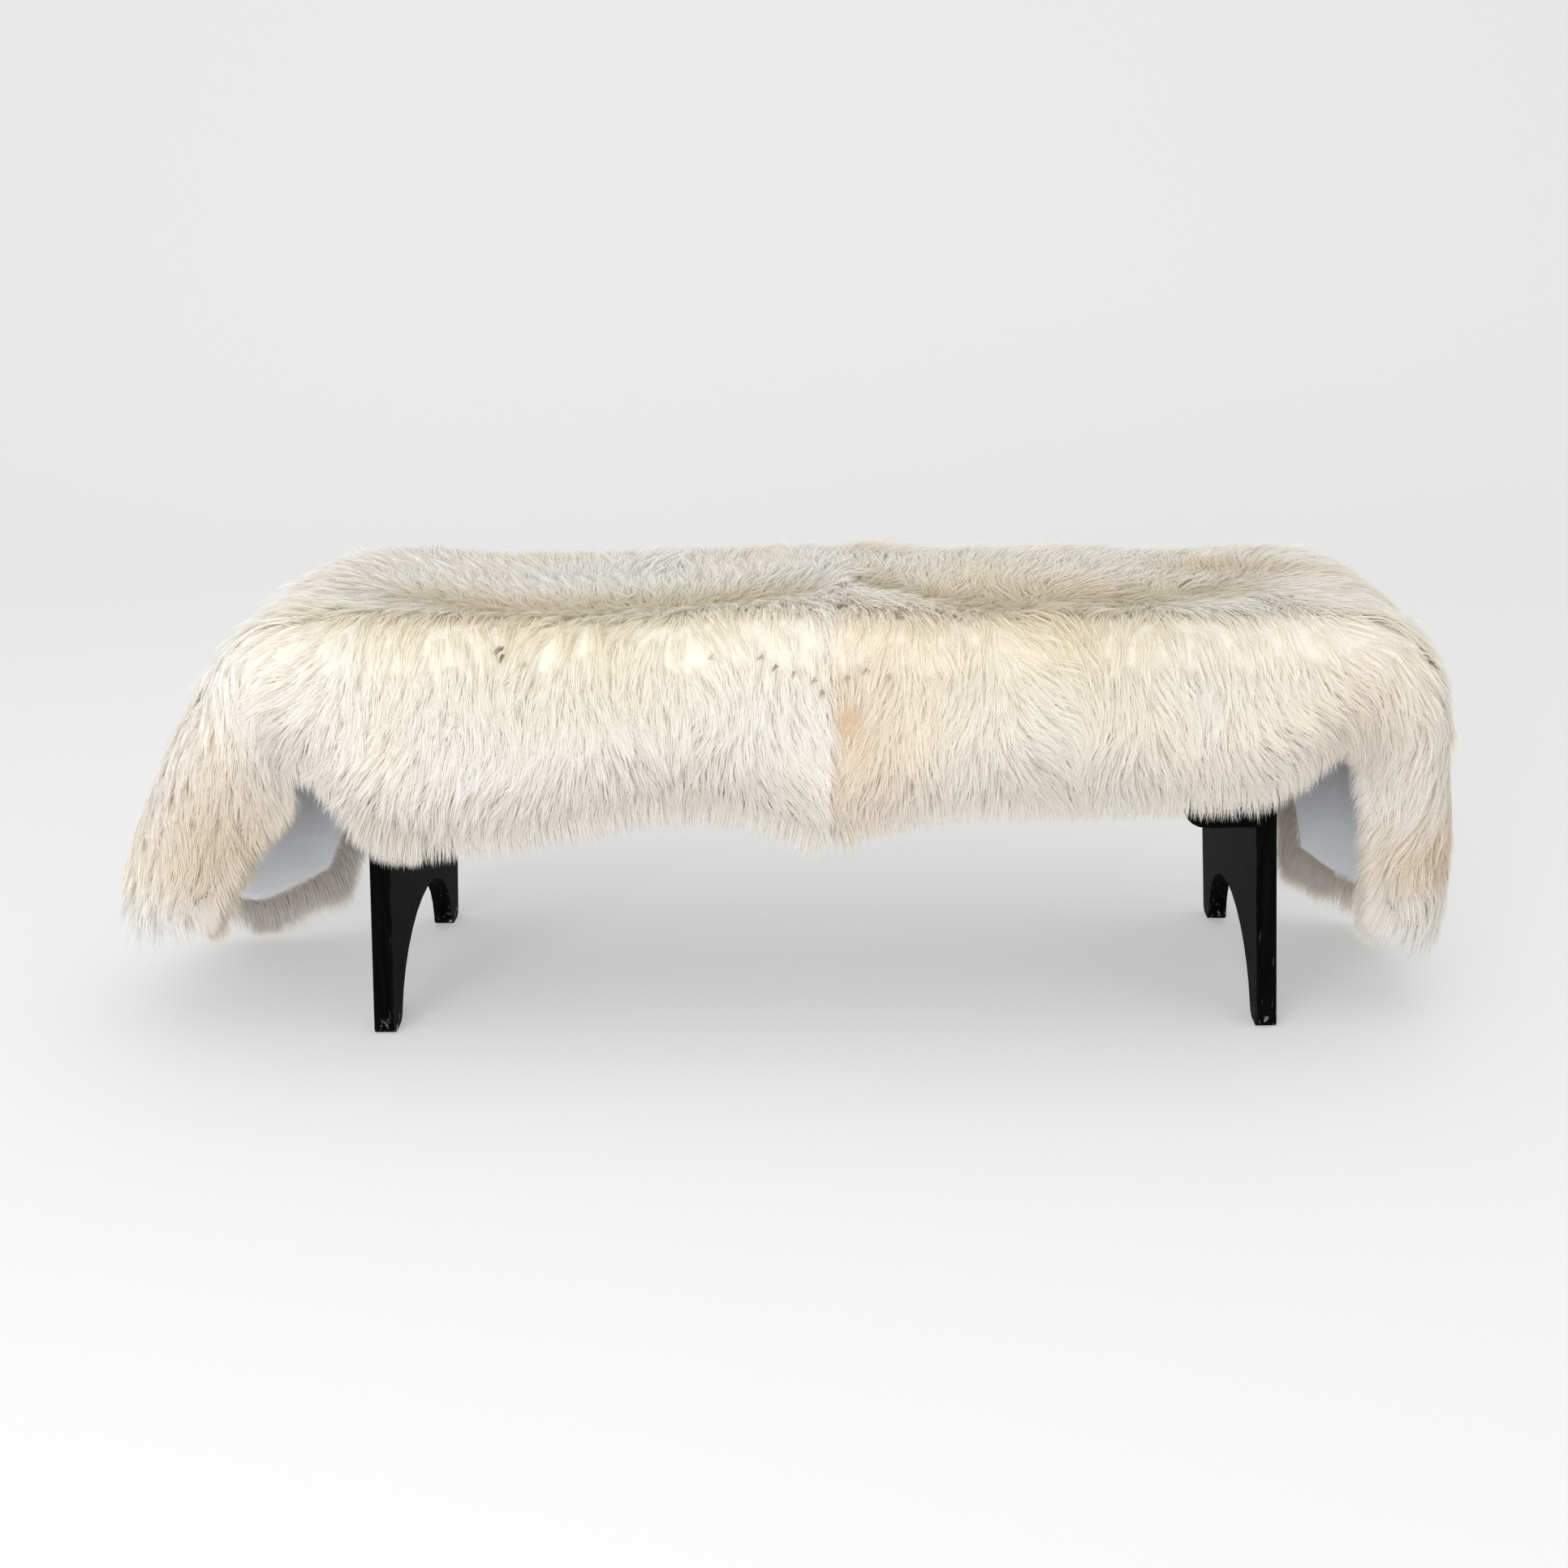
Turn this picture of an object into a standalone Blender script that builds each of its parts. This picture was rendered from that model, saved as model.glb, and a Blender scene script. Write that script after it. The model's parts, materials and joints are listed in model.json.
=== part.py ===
"""A double sheepskin draped over a black painted bench.

Two tanned skins are sewn end to end and laid over a plain bench. Each skin is one
solid: its suede side follows the bench and its wool stands outside it. Locks of wool
stand past the leather's edge on narrow strips of their own. The bench has a seat
board, two splayed slab legs with an arched cut-out, and two aprons.

The frame: metres, +X along the bench, +Y to the back, +Z up, origin on the floor under
the middle of the whole thing.
"""

import math

import bmesh
import bpy
from mathutils import Matrix, Vector, noise

# The bench
BENCH_X = 0.0410
SEAT_HALF_LENGTH = 0.550
SEAT_HALF_DEPTH = 0.167
SEAT_TOP = 0.458
SEAT_THICK = 0.024
SEAT_EDGE = 0.014
LEG_THICK = 0.023
LEG_FOOT_OUT = 0.519
LEG_SPLAY = math.radians(4.3)
FOOT_ROUND = 0.014
FOOT_ROUND_OUTSIDE = 0.010
ARCH_HALF_WIDTH = 0.129
ARCH_HEIGHT = 0.112
APRON_THICK = 0.020
APRON_SET_BACK = 0.010
APRON_DEPTH = 0.090
BRACKET_DEPTH = 0.188
BRACKET_LENGTH = 0.080
BRACKET_ROUND = 0.026
JOINT_GAP = 0.0003
ROUND_STEPS = 5
ARCH_STEPS = 7
BRACKET_STEPS = 5
WELD = 0.00005

# The skins
SEAM_X = 0.008
SEAM_GAP = 0.0003
SKIN_OVER_SEAT = 0.0009
SKIN_OFF_END = 0.002
LEATHER_THICK = 0.0025
STATION_STEP = 0.040
LUMP_HEIGHT = 0.007
LUMP_PITCH = 0.11
LUMP_FADE = 0.05
RIM_FALL = 0.060
RIM_LOFT = 0.70
RIPPLE = 0.007
RIPPLE_LENGTH = 0.31
RIPPLE_DEPTH = 0.15
END_ROUND_FROM = 0.55
END_ROUND_POWER = 4
NORMAL_STEP = 0.004

# The wool's rounded rim: how far past the leather's edge, and at what share of the loft.
RIM_RINGS = ((0.006, 0.16), (0.010, 0.50))
CREST_PAST_RIM = 0.004

# The locks round the rim, on a strip for the front, the end and the back of each skin
LOCKS_PER_STEP = 2
STRIP_LEAVES_BENCH = 0.05
STRIP_OFF_RIM = 0.0112
STRIP_LOW = 0.24
STRIP_HIGH = 0.80
STRIP_DEEP = 0.005
LOCK_LENGTH = 0.040
LOCK_FULL_WIDTH = 0.016
LOCK_NARROW_LENGTH = 0.45
LOCK_SHORT = 0.80
LOCK_UNEVEN = 0.28
LOCK_UNEVEN_PITCH = 0.83
LOCK_DROOP = 0.45
LOCK_LEAN = 0.30
WAIST_OUT = 0.42
WAIST_WIDE = 0.66

# How each skin runs from the seam to its end. The flat run stops at the bench's end. The
# bend there has a radius and an angle, and the flap beyond it settles by a few degrees
# more. The rounded end is shorter at its front and back corners and longest a little
# behind its middle. The sides hang straight down on the bench and turn to face it under
# the flap.
PELTS = {
    "left": {"side": -1, "radius": 0.090, "bend": math.radians(53), "flap": 0.318,
             "settle": math.radians(17), "short_front": 0.085, "short_back": 0.060, "long_back": 0.045,
             "seed": 3.0},
    "right": {"side": 1, "radius": 0.108, "bend": math.radians(80), "flap": 0.268,
              "settle": math.radians(6), "short_front": 0.078, "short_back": 0.050, "long_back": 0.032,
              "seed": 11.0},
}
TURN_BEFORE_END = 0.080
TURN_PAST_END = 0.260
BACK_TURN_SHARE = 0.72

# A row for each section across a skin, in metres: its distance from the seam, how deep
# the leather hangs in front and behind, half the flat width to the front and to the
# back, the radius of the corner between them, and the wool's loft.
COLUMNS = ("along", "front", "back", "flat_front", "flat_back", "corner", "loft")
SECTIONS = {
    "left": (
        (0.000, 0.186, 0.150, 0.156, 0.156, 0.014, 0.050),
        (0.042, 0.169, 0.142, 0.156, 0.156, 0.014, 0.049),
        (0.090, 0.154, 0.134, 0.156, 0.156, 0.014, 0.047),
        (0.194, 0.146, 0.128, 0.156, 0.156, 0.014, 0.042),
        (0.282, 0.164, 0.132, 0.156, 0.156, 0.014, 0.039),
        (0.335, 0.177, 0.140, 0.156, 0.156, 0.014, 0.038),
        (0.405, 0.186, 0.148, 0.156, 0.156, 0.014, 0.040),
        (0.470, 0.184, 0.142, 0.156, 0.156, 0.014, 0.044),
        (0.500, 0.160, 0.126, 0.156, 0.156, 0.014, 0.045),
        (0.535, 0.126, 0.110, 0.156, 0.156, 0.014, 0.044),
        (0.580, 0.100, 0.104, 0.155, 0.152, 0.016, 0.042),
        (0.640, 0.092, 0.112, 0.142, 0.130, 0.026, 0.041),
        (0.710, 0.094, 0.130, 0.122, 0.096, 0.042, 0.041),
        (0.781, 0.096, 0.152, 0.108, 0.054, 0.054, 0.042),
        (0.860, 0.088, 0.164, 0.100, 0.028, 0.060, 0.044),
        (0.990, 0.070, 0.160, 0.094, 0.014, 0.062, 0.045),
    ),
    "right": (
        (0.000, 0.186, 0.150, 0.156, 0.156, 0.014, 0.050),
        (0.032, 0.172, 0.144, 0.156, 0.156, 0.014, 0.047),
        (0.085, 0.156, 0.136, 0.156, 0.156, 0.014, 0.043),
        (0.164, 0.145, 0.132, 0.156, 0.156, 0.014, 0.041),
        (0.230, 0.147, 0.134, 0.156, 0.156, 0.014, 0.045),
        (0.331, 0.147, 0.136, 0.156, 0.156, 0.014, 0.042),
        (0.400, 0.143, 0.134, 0.156, 0.156, 0.014, 0.040),
        (0.453, 0.138, 0.128, 0.156, 0.156, 0.014, 0.042),
        (0.495, 0.120, 0.118, 0.156, 0.156, 0.014, 0.044),
        (0.545, 0.096, 0.104, 0.156, 0.156, 0.014, 0.044),
        (0.590, 0.080, 0.094, 0.151, 0.150, 0.018, 0.044),
        (0.650, 0.078, 0.094, 0.136, 0.122, 0.030, 0.042),
        (0.710, 0.074, 0.100, 0.118, 0.096, 0.042, 0.042),
        (0.785, 0.066, 0.108, 0.104, 0.078, 0.052, 0.041),
        (0.880, 0.064, 0.104, 0.096, 0.068, 0.050, 0.040),
        (1.000, 0.064, 0.092, 0.090, 0.062, 0.046, 0.040),
    ),
}

# Across a skin: how many steps the flat half, the corner and the hanging side take.
FLAT_STEPS = 3
CORNER_STEPS = 3
SIDE_STEPS = 4


def clear_scene():
    for item in list(bpy.data.objects):
        bpy.data.objects.remove(item, do_unlink=True)


def new_collection(name):
    group = bpy.data.collections.new(name)
    bpy.context.scene.collection.children.link(group)
    return group


def new_material(name, colour, roughness):
    material = bpy.data.materials.new(name)
    material.use_nodes = True
    shader = material.node_tree.nodes["Principled BSDF"]
    shader.inputs["Base Color"].default_value = (*colour, 1.0)
    shader.inputs["Roughness"].default_value = roughness
    shader.inputs["Metallic"].default_value = 0.0
    return material


def add_part(name, mesh, material, group):
    part = bpy.data.objects.new(name, mesh)
    mesh.materials.append(material)
    group.objects.link(part)
    return part


def smooth_step(value):
    value = min(max(value, 0.0), 1.0)
    return value * value * (3.0 - 2.0 * value)


def section_at(name, along):
    """The table's columns at a distance from the seam, on a smooth curve through its rows."""
    rows = SECTIONS[name]
    last = len(rows) - 1
    k = 0
    while k < last - 1 and along > rows[k + 1][0]:
        k += 1
    before, start, end, after = (rows[max(k - 1, 0)], rows[k], rows[k + 1], rows[min(k + 2, last)])
    span = end[0] - start[0]
    t = min(max((along - start[0]) / span, 0.0), 1.0)
    values = {}
    for column, label in enumerate(COLUMNS[1:], 1):
        slope_in = (end[column] - before[column]) / (end[0] - before[0]) * span
        slope_out = (after[column] - start[column]) / (after[0] - start[0]) * span
        rise = end[column] - start[column]
        values[label] = (start[column] + slope_in * t
                         + (3.0 * rise - 2.0 * slope_in - slope_out) * t * t
                         + (slope_in + slope_out - 2.0 * rise) * t * t * t)
    return values


def flat_run(pelt):
    """From the seam to where the skin leaves the bench's end."""
    return SEAT_HALF_LENGTH + SKIN_OFF_END - pelt["side"] * SEAM_X


def full_length(pelt):
    return flat_run(pelt) + pelt["radius"] * pelt["bend"] + pelt["flap"]


def arc_step(out, up, tilt, length, turn):
    """Follows an arc of a length that turns down from a tilt: where it ends, and its tilt there."""
    chord = length * (math.sin(turn / 2) / (turn / 2) if turn > 0.0001 else 1.0)
    heading = tilt + turn / 2
    return out + chord * math.cos(heading), up - chord * math.sin(heading), tilt + turn


def spine_at(pelt, along):
    """The skin's middle line at a distance from the seam: how far out and how far up."""
    run, radius, bend = flat_run(pelt), pelt["radius"], pelt["bend"]
    past = max(along - run, 0.0)
    curved = min(past, radius * bend)
    hanging = past - curved
    out, up, tilt = arc_step(min(along, run), 0.0, 0.0, curved, curved / radius)
    out, up, tilt = arc_step(out, up, tilt, hanging, pelt["settle"] * hanging / pelt["flap"])
    return out, up


def side_turn(pelt, along, across):
    """How far a hanging side has turned towards the bench, the back one less than the front one."""
    start = flat_run(pelt) - TURN_BEFORE_END
    share = smooth_step((along - start) / (TURN_BEFORE_END + TURN_PAST_END))
    if across > 0:
        share *= BACK_TURN_SHARE
    return share * (pelt["bend"] + pelt["settle"])


def leather_point(name, along, across):
    """A point on the suede side: along from the seam, across from the middle line."""
    pelt = PELTS[name]
    row = section_at(name, along)
    flat = row["flat_front"] if across < 0 else row["flat_back"]
    length, corner = abs(across), row["corner"]
    turn = min(max((length - flat) / corner, 0.0), math.pi / 2)
    hang = max(length - flat - corner * math.pi / 2, 0.0)
    sideways = min(length, flat) + corner * math.sin(turn)
    inward = corner * (1.0 - math.cos(turn)) + hang
    wave = math.sin(2.0 * math.pi * along / RIPPLE_LENGTH + pelt["seed"])
    sideways += RIPPLE * (1.0 + wave) * smooth_step(hang / RIPPLE_DEPTH)
    out, up = spine_at(pelt, along)
    turned = side_turn(pelt, along, across)
    out -= inward * math.sin(turned)
    up -= inward * math.cos(turned)
    return Vector((BENCH_X + SEAM_X + pelt["side"] * out,
                   math.copysign(sideways, across),
                   SEAT_TOP + SKIN_OVER_SEAT + up))


def wool_way(name, along, across):
    """The way out of the skin, square to its suede."""
    step = NORMAL_STEP
    lengthwise = leather_point(name, along + step, across) - leather_point(name, along - step, across)
    crosswise = leather_point(name, along, across + step) - leather_point(name, along, across - step)
    return PELTS[name]["side"] * lengthwise.cross(crosswise).normalized()


def edge_length(name, along, side):
    """From the middle line over the corner to the leather's edge."""
    row = section_at(name, along)
    flat, hang = (row["flat_front"], row["front"]) if side < 0 else (row["flat_back"], row["back"])
    return flat + row["corner"] * math.pi / 2 + hang - row["corner"]


def across_steps(name, along):
    """Distances across the skin, from the front edge to the back edge."""
    row = section_at(name, along)
    halves = []
    for side, flat in ((-1, row["flat_front"]), (1, row["flat_back"])):
        turn = row["corner"] * math.pi / 2
        hang = edge_length(name, along, side) - flat - turn
        half = [flat * k / FLAT_STEPS for k in range(1, FLAT_STEPS + 1)]
        half += [flat + turn * k / CORNER_STEPS for k in range(1, CORNER_STEPS + 1)]
        half += [flat + turn + hang * k / SIDE_STEPS for k in range(1, SIDE_STEPS + 1)]
        halves.append([side * value for value in half])
    return halves[0][::-1] + [0.0] + halves[1]


def drawn_in(name, along, share):
    """How much nearer the seam a place lies towards the uneven end, by its share of the half width."""
    pelt = PELTS[name]
    short = pelt["short_front"] if share < 0 else pelt["short_back"]
    past = (along / full_length(pelt) - END_ROUND_FROM) / (1.0 - END_ROUND_FROM)
    lobe = pelt["long_back"] * math.sin(math.pi * max(share, 0.0)) ** 2
    return smooth_step(past) * (short * abs(share) ** END_ROUND_POWER - lobe)


def skin_grid(name):
    """Stations along, and at each the distances across: (along, across) for every grid point."""
    length = full_length(PELTS[name])
    count = round(length / STATION_STEP)
    grid = []
    for i in range(count + 1):
        along = length * i / count
        steps = across_steps(name, along)
        widest = max(abs(steps[0]), abs(steps[-1]))
        grid.append([(along - drawn_in(name, along, across / widest), across) for across in steps])
    return grid


def loft_at(name, along, across):
    """How far the wool stands off the suede, with its lumps and its fall towards the rim."""
    pelt = PELTS[name]
    loft = section_at(name, along)["loft"]
    spot = Vector((along / LUMP_PITCH, across / LUMP_PITCH, pelt["seed"]))
    lump = LUMP_HEIGHT * noise.noise(spot) * smooth_step(along / LUMP_FADE)
    inside = min(edge_length(name, along, across) - abs(across), full_length(pelt) - along)
    rim = RIM_LOFT + (1.0 - RIM_LOFT) * smooth_step(inside / RIM_FALL)
    return (loft + lump) * rim


def off_rim(name, spot, way, beyond, lift):
    along, across = spot[0] + way[0] * beyond, spot[1] + way[1] * beyond
    return leather_point(name, along, across) + lift * wool_way(name, spot[0], spot[1])


def rim_loop(grid):
    """Grid places from the seam down the front edge, across the end and up the back edge."""
    rows, columns = len(grid), len(grid[0])
    front = [(i, 0) for i in range(rows)]
    end = [(rows - 1, j) for j in range(1, columns)]
    back = [(i, columns - 1) for i in range(rows - 2, -1, -1)]
    return front + end + back


def rim_ways(grid):
    """Which way each place of the rim looks off the skin, square to the rim: (along, across)."""
    loop = rim_loop(grid)
    spots = [grid[i][j] for i, j in loop]
    ways = {loop[0]: (0.0, -1.0), loop[-1]: (0.0, 1.0)}
    for place, before, after in zip(loop[1:-1], spots, spots[2:]):
        run, rise = after[0] - before[0], after[1] - before[1]
        size = math.hypot(run, rise)
        ways[place] = (rise / size, -run / size)
    return ways


def pelt_mesh(name):
    grid = skin_grid(name)
    rows, columns = len(grid), len(grid[0])
    ways = rim_ways(grid)
    seam = BENCH_X + SEAM_X + PELTS[name]["side"] * SEAM_GAP / 2
    form = bmesh.new()

    def add(spot, way, beyond, lift):
        point = off_rim(name, spot, way, beyond, lift)
        if spot[0] <= 0.0:
            point.x = seam
        return form.verts.new(point)

    suede, wool = [], []
    for i, line in enumerate(grid):
        suede.append([add(spot, (0.0, 0.0), 0.0, 0.0) for spot in line])
        wool.append([add(spot, ways.get((i, j), (0.0, 0.0)), CREST_PAST_RIM, loft_at(name, *spot))
                     for j, spot in enumerate(line)])
    loop = rim_loop(grid)
    rings = [[suede[i][j] for i, j in loop]]
    rings.append([add(grid[i][j], (0.0, 0.0), 0.0, LEATHER_THICK) for i, j in loop])
    for beyond, share in RIM_RINGS:
        rings.append([add(grid[i][j], ways[i, j], beyond, share * loft_at(name, *grid[i][j]))
                      for i, j in loop])
    rings.append([wool[i][j] for i, j in loop])

    for i in range(rows - 1):
        for j in range(columns - 1):
            form.faces.new((suede[i][j], suede[i][j + 1], suede[i + 1][j + 1], suede[i + 1][j]))
            form.faces.new((wool[i][j], wool[i + 1][j], wool[i + 1][j + 1], wool[i][j + 1]))
    for inner, outer in zip(rings, rings[1:]):
        for k in range(len(loop) - 1):
            form.faces.new((inner[k], inner[k + 1], outer[k + 1], outer[k]))
    for j in range(columns - 1):
        form.faces.new((suede[0][j], wool[0][j], wool[0][j + 1], suede[0][j + 1]))
    form.faces.new([ring[0] for ring in rings])
    form.faces.new([ring[-1] for ring in rings][::-1])
    bmesh.ops.recalc_face_normals(form, faces=form.faces)
    mesh = bpy.data.meshes.new("pelt_" + name)
    form.to_mesh(mesh)
    form.free()
    return mesh


def strip_stations(name, where):
    """Roots of a strip of locks: low and high corner, way off the rim and wool way at each."""
    grid = skin_grid(name)
    loop, ways = rim_loop(grid), rim_ways(grid)
    off_bench = flat_run(PELTS[name]) + STRIP_LEAVES_BENCH
    leave = next(k for k, (i, _) in enumerate(loop) if grid[i][0][0] > off_bench)
    parts = {"front": loop[:leave + 1], "end": loop[leave + 1:len(loop) - leave - 1],
             "back": loop[len(loop) - leave - 1:]}
    stations = []
    for i, j in parts[where]:
        spot, way = grid[i][j], ways[i, j]
        spot = (max(spot[0], SEAM_GAP * 3), spot[1])
        loft = loft_at(name, *spot)
        low = off_rim(name, spot, way, STRIP_OFF_RIM, STRIP_LOW * loft)
        high = off_rim(name, spot, way, STRIP_OFF_RIM, STRIP_HIGH * loft)
        rim = off_rim(name, spot, way, 0.0, 0.0)
        outward = (off_rim(name, spot, way, STRIP_OFF_RIM, 0.0) - rim).normalized()
        stations.append((low, high, outward))
    finer = []
    for start, end in zip(stations, stations[1:]):
        for k in range(LOCKS_PER_STEP):
            share = k / LOCKS_PER_STEP
            finer.append(tuple(a.lerp(b, share) for a, b in zip(start, end)))
    finer.append(stations[-1])
    return finer


def fringe_mesh(name, where):
    """A narrow strip along the rim with a four-sided tapering lock on each of its cells."""
    stations = strip_stations(name, where)
    form = bmesh.new()
    root, crest = [], []
    for low, high, outward in stations:
        root.append([form.verts.new(low), form.verts.new(high)])
        crest.append([form.verts.new(point + STRIP_DEEP * outward) for point in (low, high)])
    for k in range(len(stations) - 1):
        near, far = (root[k], root[k + 1]), (crest[k], crest[k + 1])
        form.faces.new((near[0][0], near[0][1], near[1][1], near[1][0]))
        form.faces.new((near[0][0], near[1][0], far[1][0], far[0][0]))
        form.faces.new((near[0][1], far[0][1], far[1][1], near[1][1]))
        corners = (far[0][0], far[1][0], far[1][1], far[0][1])
        add_lock(form, corners, stations[k][2], k, PELTS[name]["seed"])
    form.faces.new((root[0][0], crest[0][0], crest[0][1], root[0][1]))
    form.faces.new((root[-1][0], root[-1][1], crest[-1][1], crest[-1][0]))
    bmesh.ops.recalc_face_normals(form, faces=form.faces)
    mesh = bpy.data.meshes.new("_".join(("fringe", name, where)))
    form.to_mesh(mesh)
    form.free()
    return mesh


def add_lock(form, corners, outward, k, seed):
    """One lock on four root corners: a waist part of the way out, then a tip."""
    centre = sum((corner.co for corner in corners), Vector()) / 4
    wide = (corners[1].co - corners[0].co).length
    uneven = noise.noise(Vector((k * LOCK_UNEVEN_PITCH, seed, 0.5)))
    length = LOCK_LENGTH * (1.0 + LOCK_UNEVEN * uneven)
    length *= LOCK_SHORT if k % 2 else 1.0
    length *= LOCK_NARROW_LENGTH + (1.0 - LOCK_NARROW_LENGTH) * smooth_step(wide / LOCK_FULL_WIDTH)
    droop = (outward + LOCK_DROOP * Vector((0.0, 0.0, -1.0))).normalized()
    lean = LOCK_LEAN * (corners[3].co - corners[0].co) * (1 if k % 2 else -1)
    middle = centre + WAIST_OUT * length * outward.lerp(droop, 0.5).normalized()
    tip = centre + length * droop + lean
    waist = [form.verts.new(middle + WAIST_WIDE * (corner.co - centre)) for corner in corners]
    point = form.verts.new(tip)
    for a in range(4):
        b = (a + 1) % 4
        form.faces.new((corners[a], corners[b], waist[b], waist[a]))
        form.faces.new((waist[a], waist[b], point))


def outline_mesh(name, points, thick):
    """A flat outline in the local XY plane, made a board of the given thickness."""
    curve = bpy.data.curves.new(name, "CURVE")
    curve.dimensions = "2D"
    curve.fill_mode = "BOTH"
    curve.extrude = thick / 2
    line = curve.splines.new("POLY")
    line.points.add(len(points) - 1)
    for point, (x, y) in zip(line.points, points):
        point.co = (x, y, 0.0, 1.0)
    line.use_cyclic_u = True
    holder = bpy.data.objects.new(name + "_outline", curve)
    bpy.context.scene.collection.objects.link(holder)
    bpy.context.view_layer.update()
    evaluated = holder.evaluated_get(bpy.context.evaluated_depsgraph_get())
    mesh = bpy.data.meshes.new_from_object(evaluated)
    bpy.data.objects.remove(holder, do_unlink=True)
    form = bmesh.new()
    form.from_mesh(mesh)
    bmesh.ops.remove_doubles(form, verts=form.verts, dist=WELD)
    bmesh.ops.recalc_face_normals(form, faces=form.faces)
    form.to_mesh(mesh)
    form.free()
    mesh.name = name
    return mesh


def arc_points(centre, radius, start, end, steps):
    angles = [math.radians(start + (end - start) * k / steps) for k in range(steps + 1)]
    return [(centre[0] + radius * math.cos(a), centre[1] + radius * math.sin(a)) for a in angles]


def seat_mesh():
    """The seat board, its long top edges and its ends rounded over."""
    form = bmesh.new()
    bmesh.ops.create_cube(form, size=1.0)
    size = Vector((2 * SEAT_HALF_LENGTH, 2 * SEAT_HALF_DEPTH, SEAT_THICK))
    bmesh.ops.scale(form, vec=size, verts=form.verts)
    top_edges = [edge for edge in form.edges if all(vert.co.z > 0 for vert in edge.verts)]
    bmesh.ops.bevel(form, geom=top_edges, offset=SEAT_EDGE, offset_type="OFFSET",
                    segments=ROUND_STEPS, profile=0.5, affect="EDGES", clamp_overlap=True)
    bmesh.ops.recalc_face_normals(form, faces=form.faces)
    mesh = bpy.data.meshes.new("bench_seat")
    form.to_mesh(mesh)
    form.free()
    return mesh


def leg_outline():
    """Half depth and height of the slab leg, round its feet and over its arch."""
    deep, high = SEAT_HALF_DEPTH, SEAT_TOP - SEAT_THICK - JOINT_GAP
    inner = ARCH_HALF_WIDTH
    right = [(deep, high)]
    outside, inside = FOOT_ROUND_OUTSIDE, FOOT_ROUND
    right += arc_points((deep - outside, outside), outside, 0, -90, ROUND_STEPS)
    right += arc_points((inner + inside, inside), inside, 270, 180, ROUND_STEPS)
    arch_start = math.degrees(math.asin(FOOT_ROUND / ARCH_HEIGHT))
    for k in range(1, ARCH_STEPS):
        angle = math.radians(arch_start + (90 - arch_start) * k / ARCH_STEPS)
        right.append((inner * math.cos(angle), ARCH_HEIGHT * math.sin(angle)))
    top = [(0.0, ARCH_HEIGHT)]
    return right + top + [(-x, y) for x, y in reversed(right)]


def leg_mesh(side):
    """A slab leg, sheared outwards so that its feet stay flat on the floor."""
    mesh = outline_mesh("leg_left" if side < 0 else "leg_right", leg_outline(), LEG_THICK)
    upright = Matrix(((0, 0, 1, 0), (1, 0, 0, 0), (0, 1, 0, 0), (0, 0, 0, 1)))
    splay = Matrix.Identity(4)
    splay[0][2] = -side * math.tan(LEG_SPLAY)
    mesh.transform(splay @ upright)
    return mesh


def leg_inner_face(height):
    """How far from the bench's middle the leg's inner face is at a height."""
    return LEG_FOOT_OUT - LEG_THICK - height * math.tan(LEG_SPLAY)


def apron_outline():
    """Half length and height: the shallow middle, the hollow corner and the rounded bracket."""
    top = SEAT_TOP - SEAT_THICK - JOINT_GAP
    low = top - BRACKET_DEPTH
    middle = top - APRON_DEPTH
    inner = leg_inner_face(low) - BRACKET_LENGTH
    right = [(leg_inner_face(top) - JOINT_GAP, top), (leg_inner_face(low) - JOINT_GAP, low)]
    bend = BRACKET_ROUND
    right += arc_points((inner + bend, low + bend), bend, 270, 180, BRACKET_STEPS)
    right += arc_points((inner - bend, middle - bend), bend, 0, 90, BRACKET_STEPS)
    return right + [(-x, y) for x, y in reversed(right)]


def apron_mesh(name):
    mesh = outline_mesh(name, apron_outline(), APRON_THICK)
    mesh.transform(Matrix.Rotation(math.radians(90), 4, "X"))
    return mesh


def build_bench(group, paint):
    seat = add_part("bench_seat", seat_mesh(), paint, group)
    seat.location = (BENCH_X, 0.0, SEAT_TOP - SEAT_THICK / 2)
    for side, label in ((-1, "leg_left"), (1, "leg_right")):
        leg = add_part(label, leg_mesh(side), paint, group)
        leg.location = (BENCH_X + side * (LEG_FOOT_OUT - LEG_THICK / 2), 0.0, 0.0)
    reach = SEAT_HALF_DEPTH - APRON_SET_BACK - APRON_THICK / 2
    for side, label in ((-1, "apron_front"), (1, "apron_back")):
        apron = add_part(label, apron_mesh(label), paint, group)
        apron.location = (BENCH_X, side * reach, 0.0)


def build_skins(group, materials):
    for name in PELTS:
        add_part("pelt_" + name, pelt_mesh(name), materials["wool_" + name], group)
        for where in ("front", "end", "back"):
            label = "_".join(("fringe", name, where))
            add_part(label, fringe_mesh(name, where), materials["lock_" + name], group)


def main():
    clear_scene()
    group = new_collection("double_sheepskin_on_bench")
    materials = {
        "wool_left": new_material("wool_left", (0.83, 0.76, 0.62), 0.9),
        "wool_right": new_material("wool_right", (0.85, 0.77, 0.60), 0.9),
        "lock_left": new_material("lock_left", (0.74, 0.68, 0.58), 0.9),
        "lock_right": new_material("lock_right", (0.76, 0.70, 0.60), 0.9),
    }
    build_bench(group, new_material("black_paint", (0.012, 0.012, 0.013), 0.4))
    build_skins(group, materials)


main()
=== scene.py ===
import itertools
import json
import math
import random

import bmesh
import bpy
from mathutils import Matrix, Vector, noise

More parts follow.
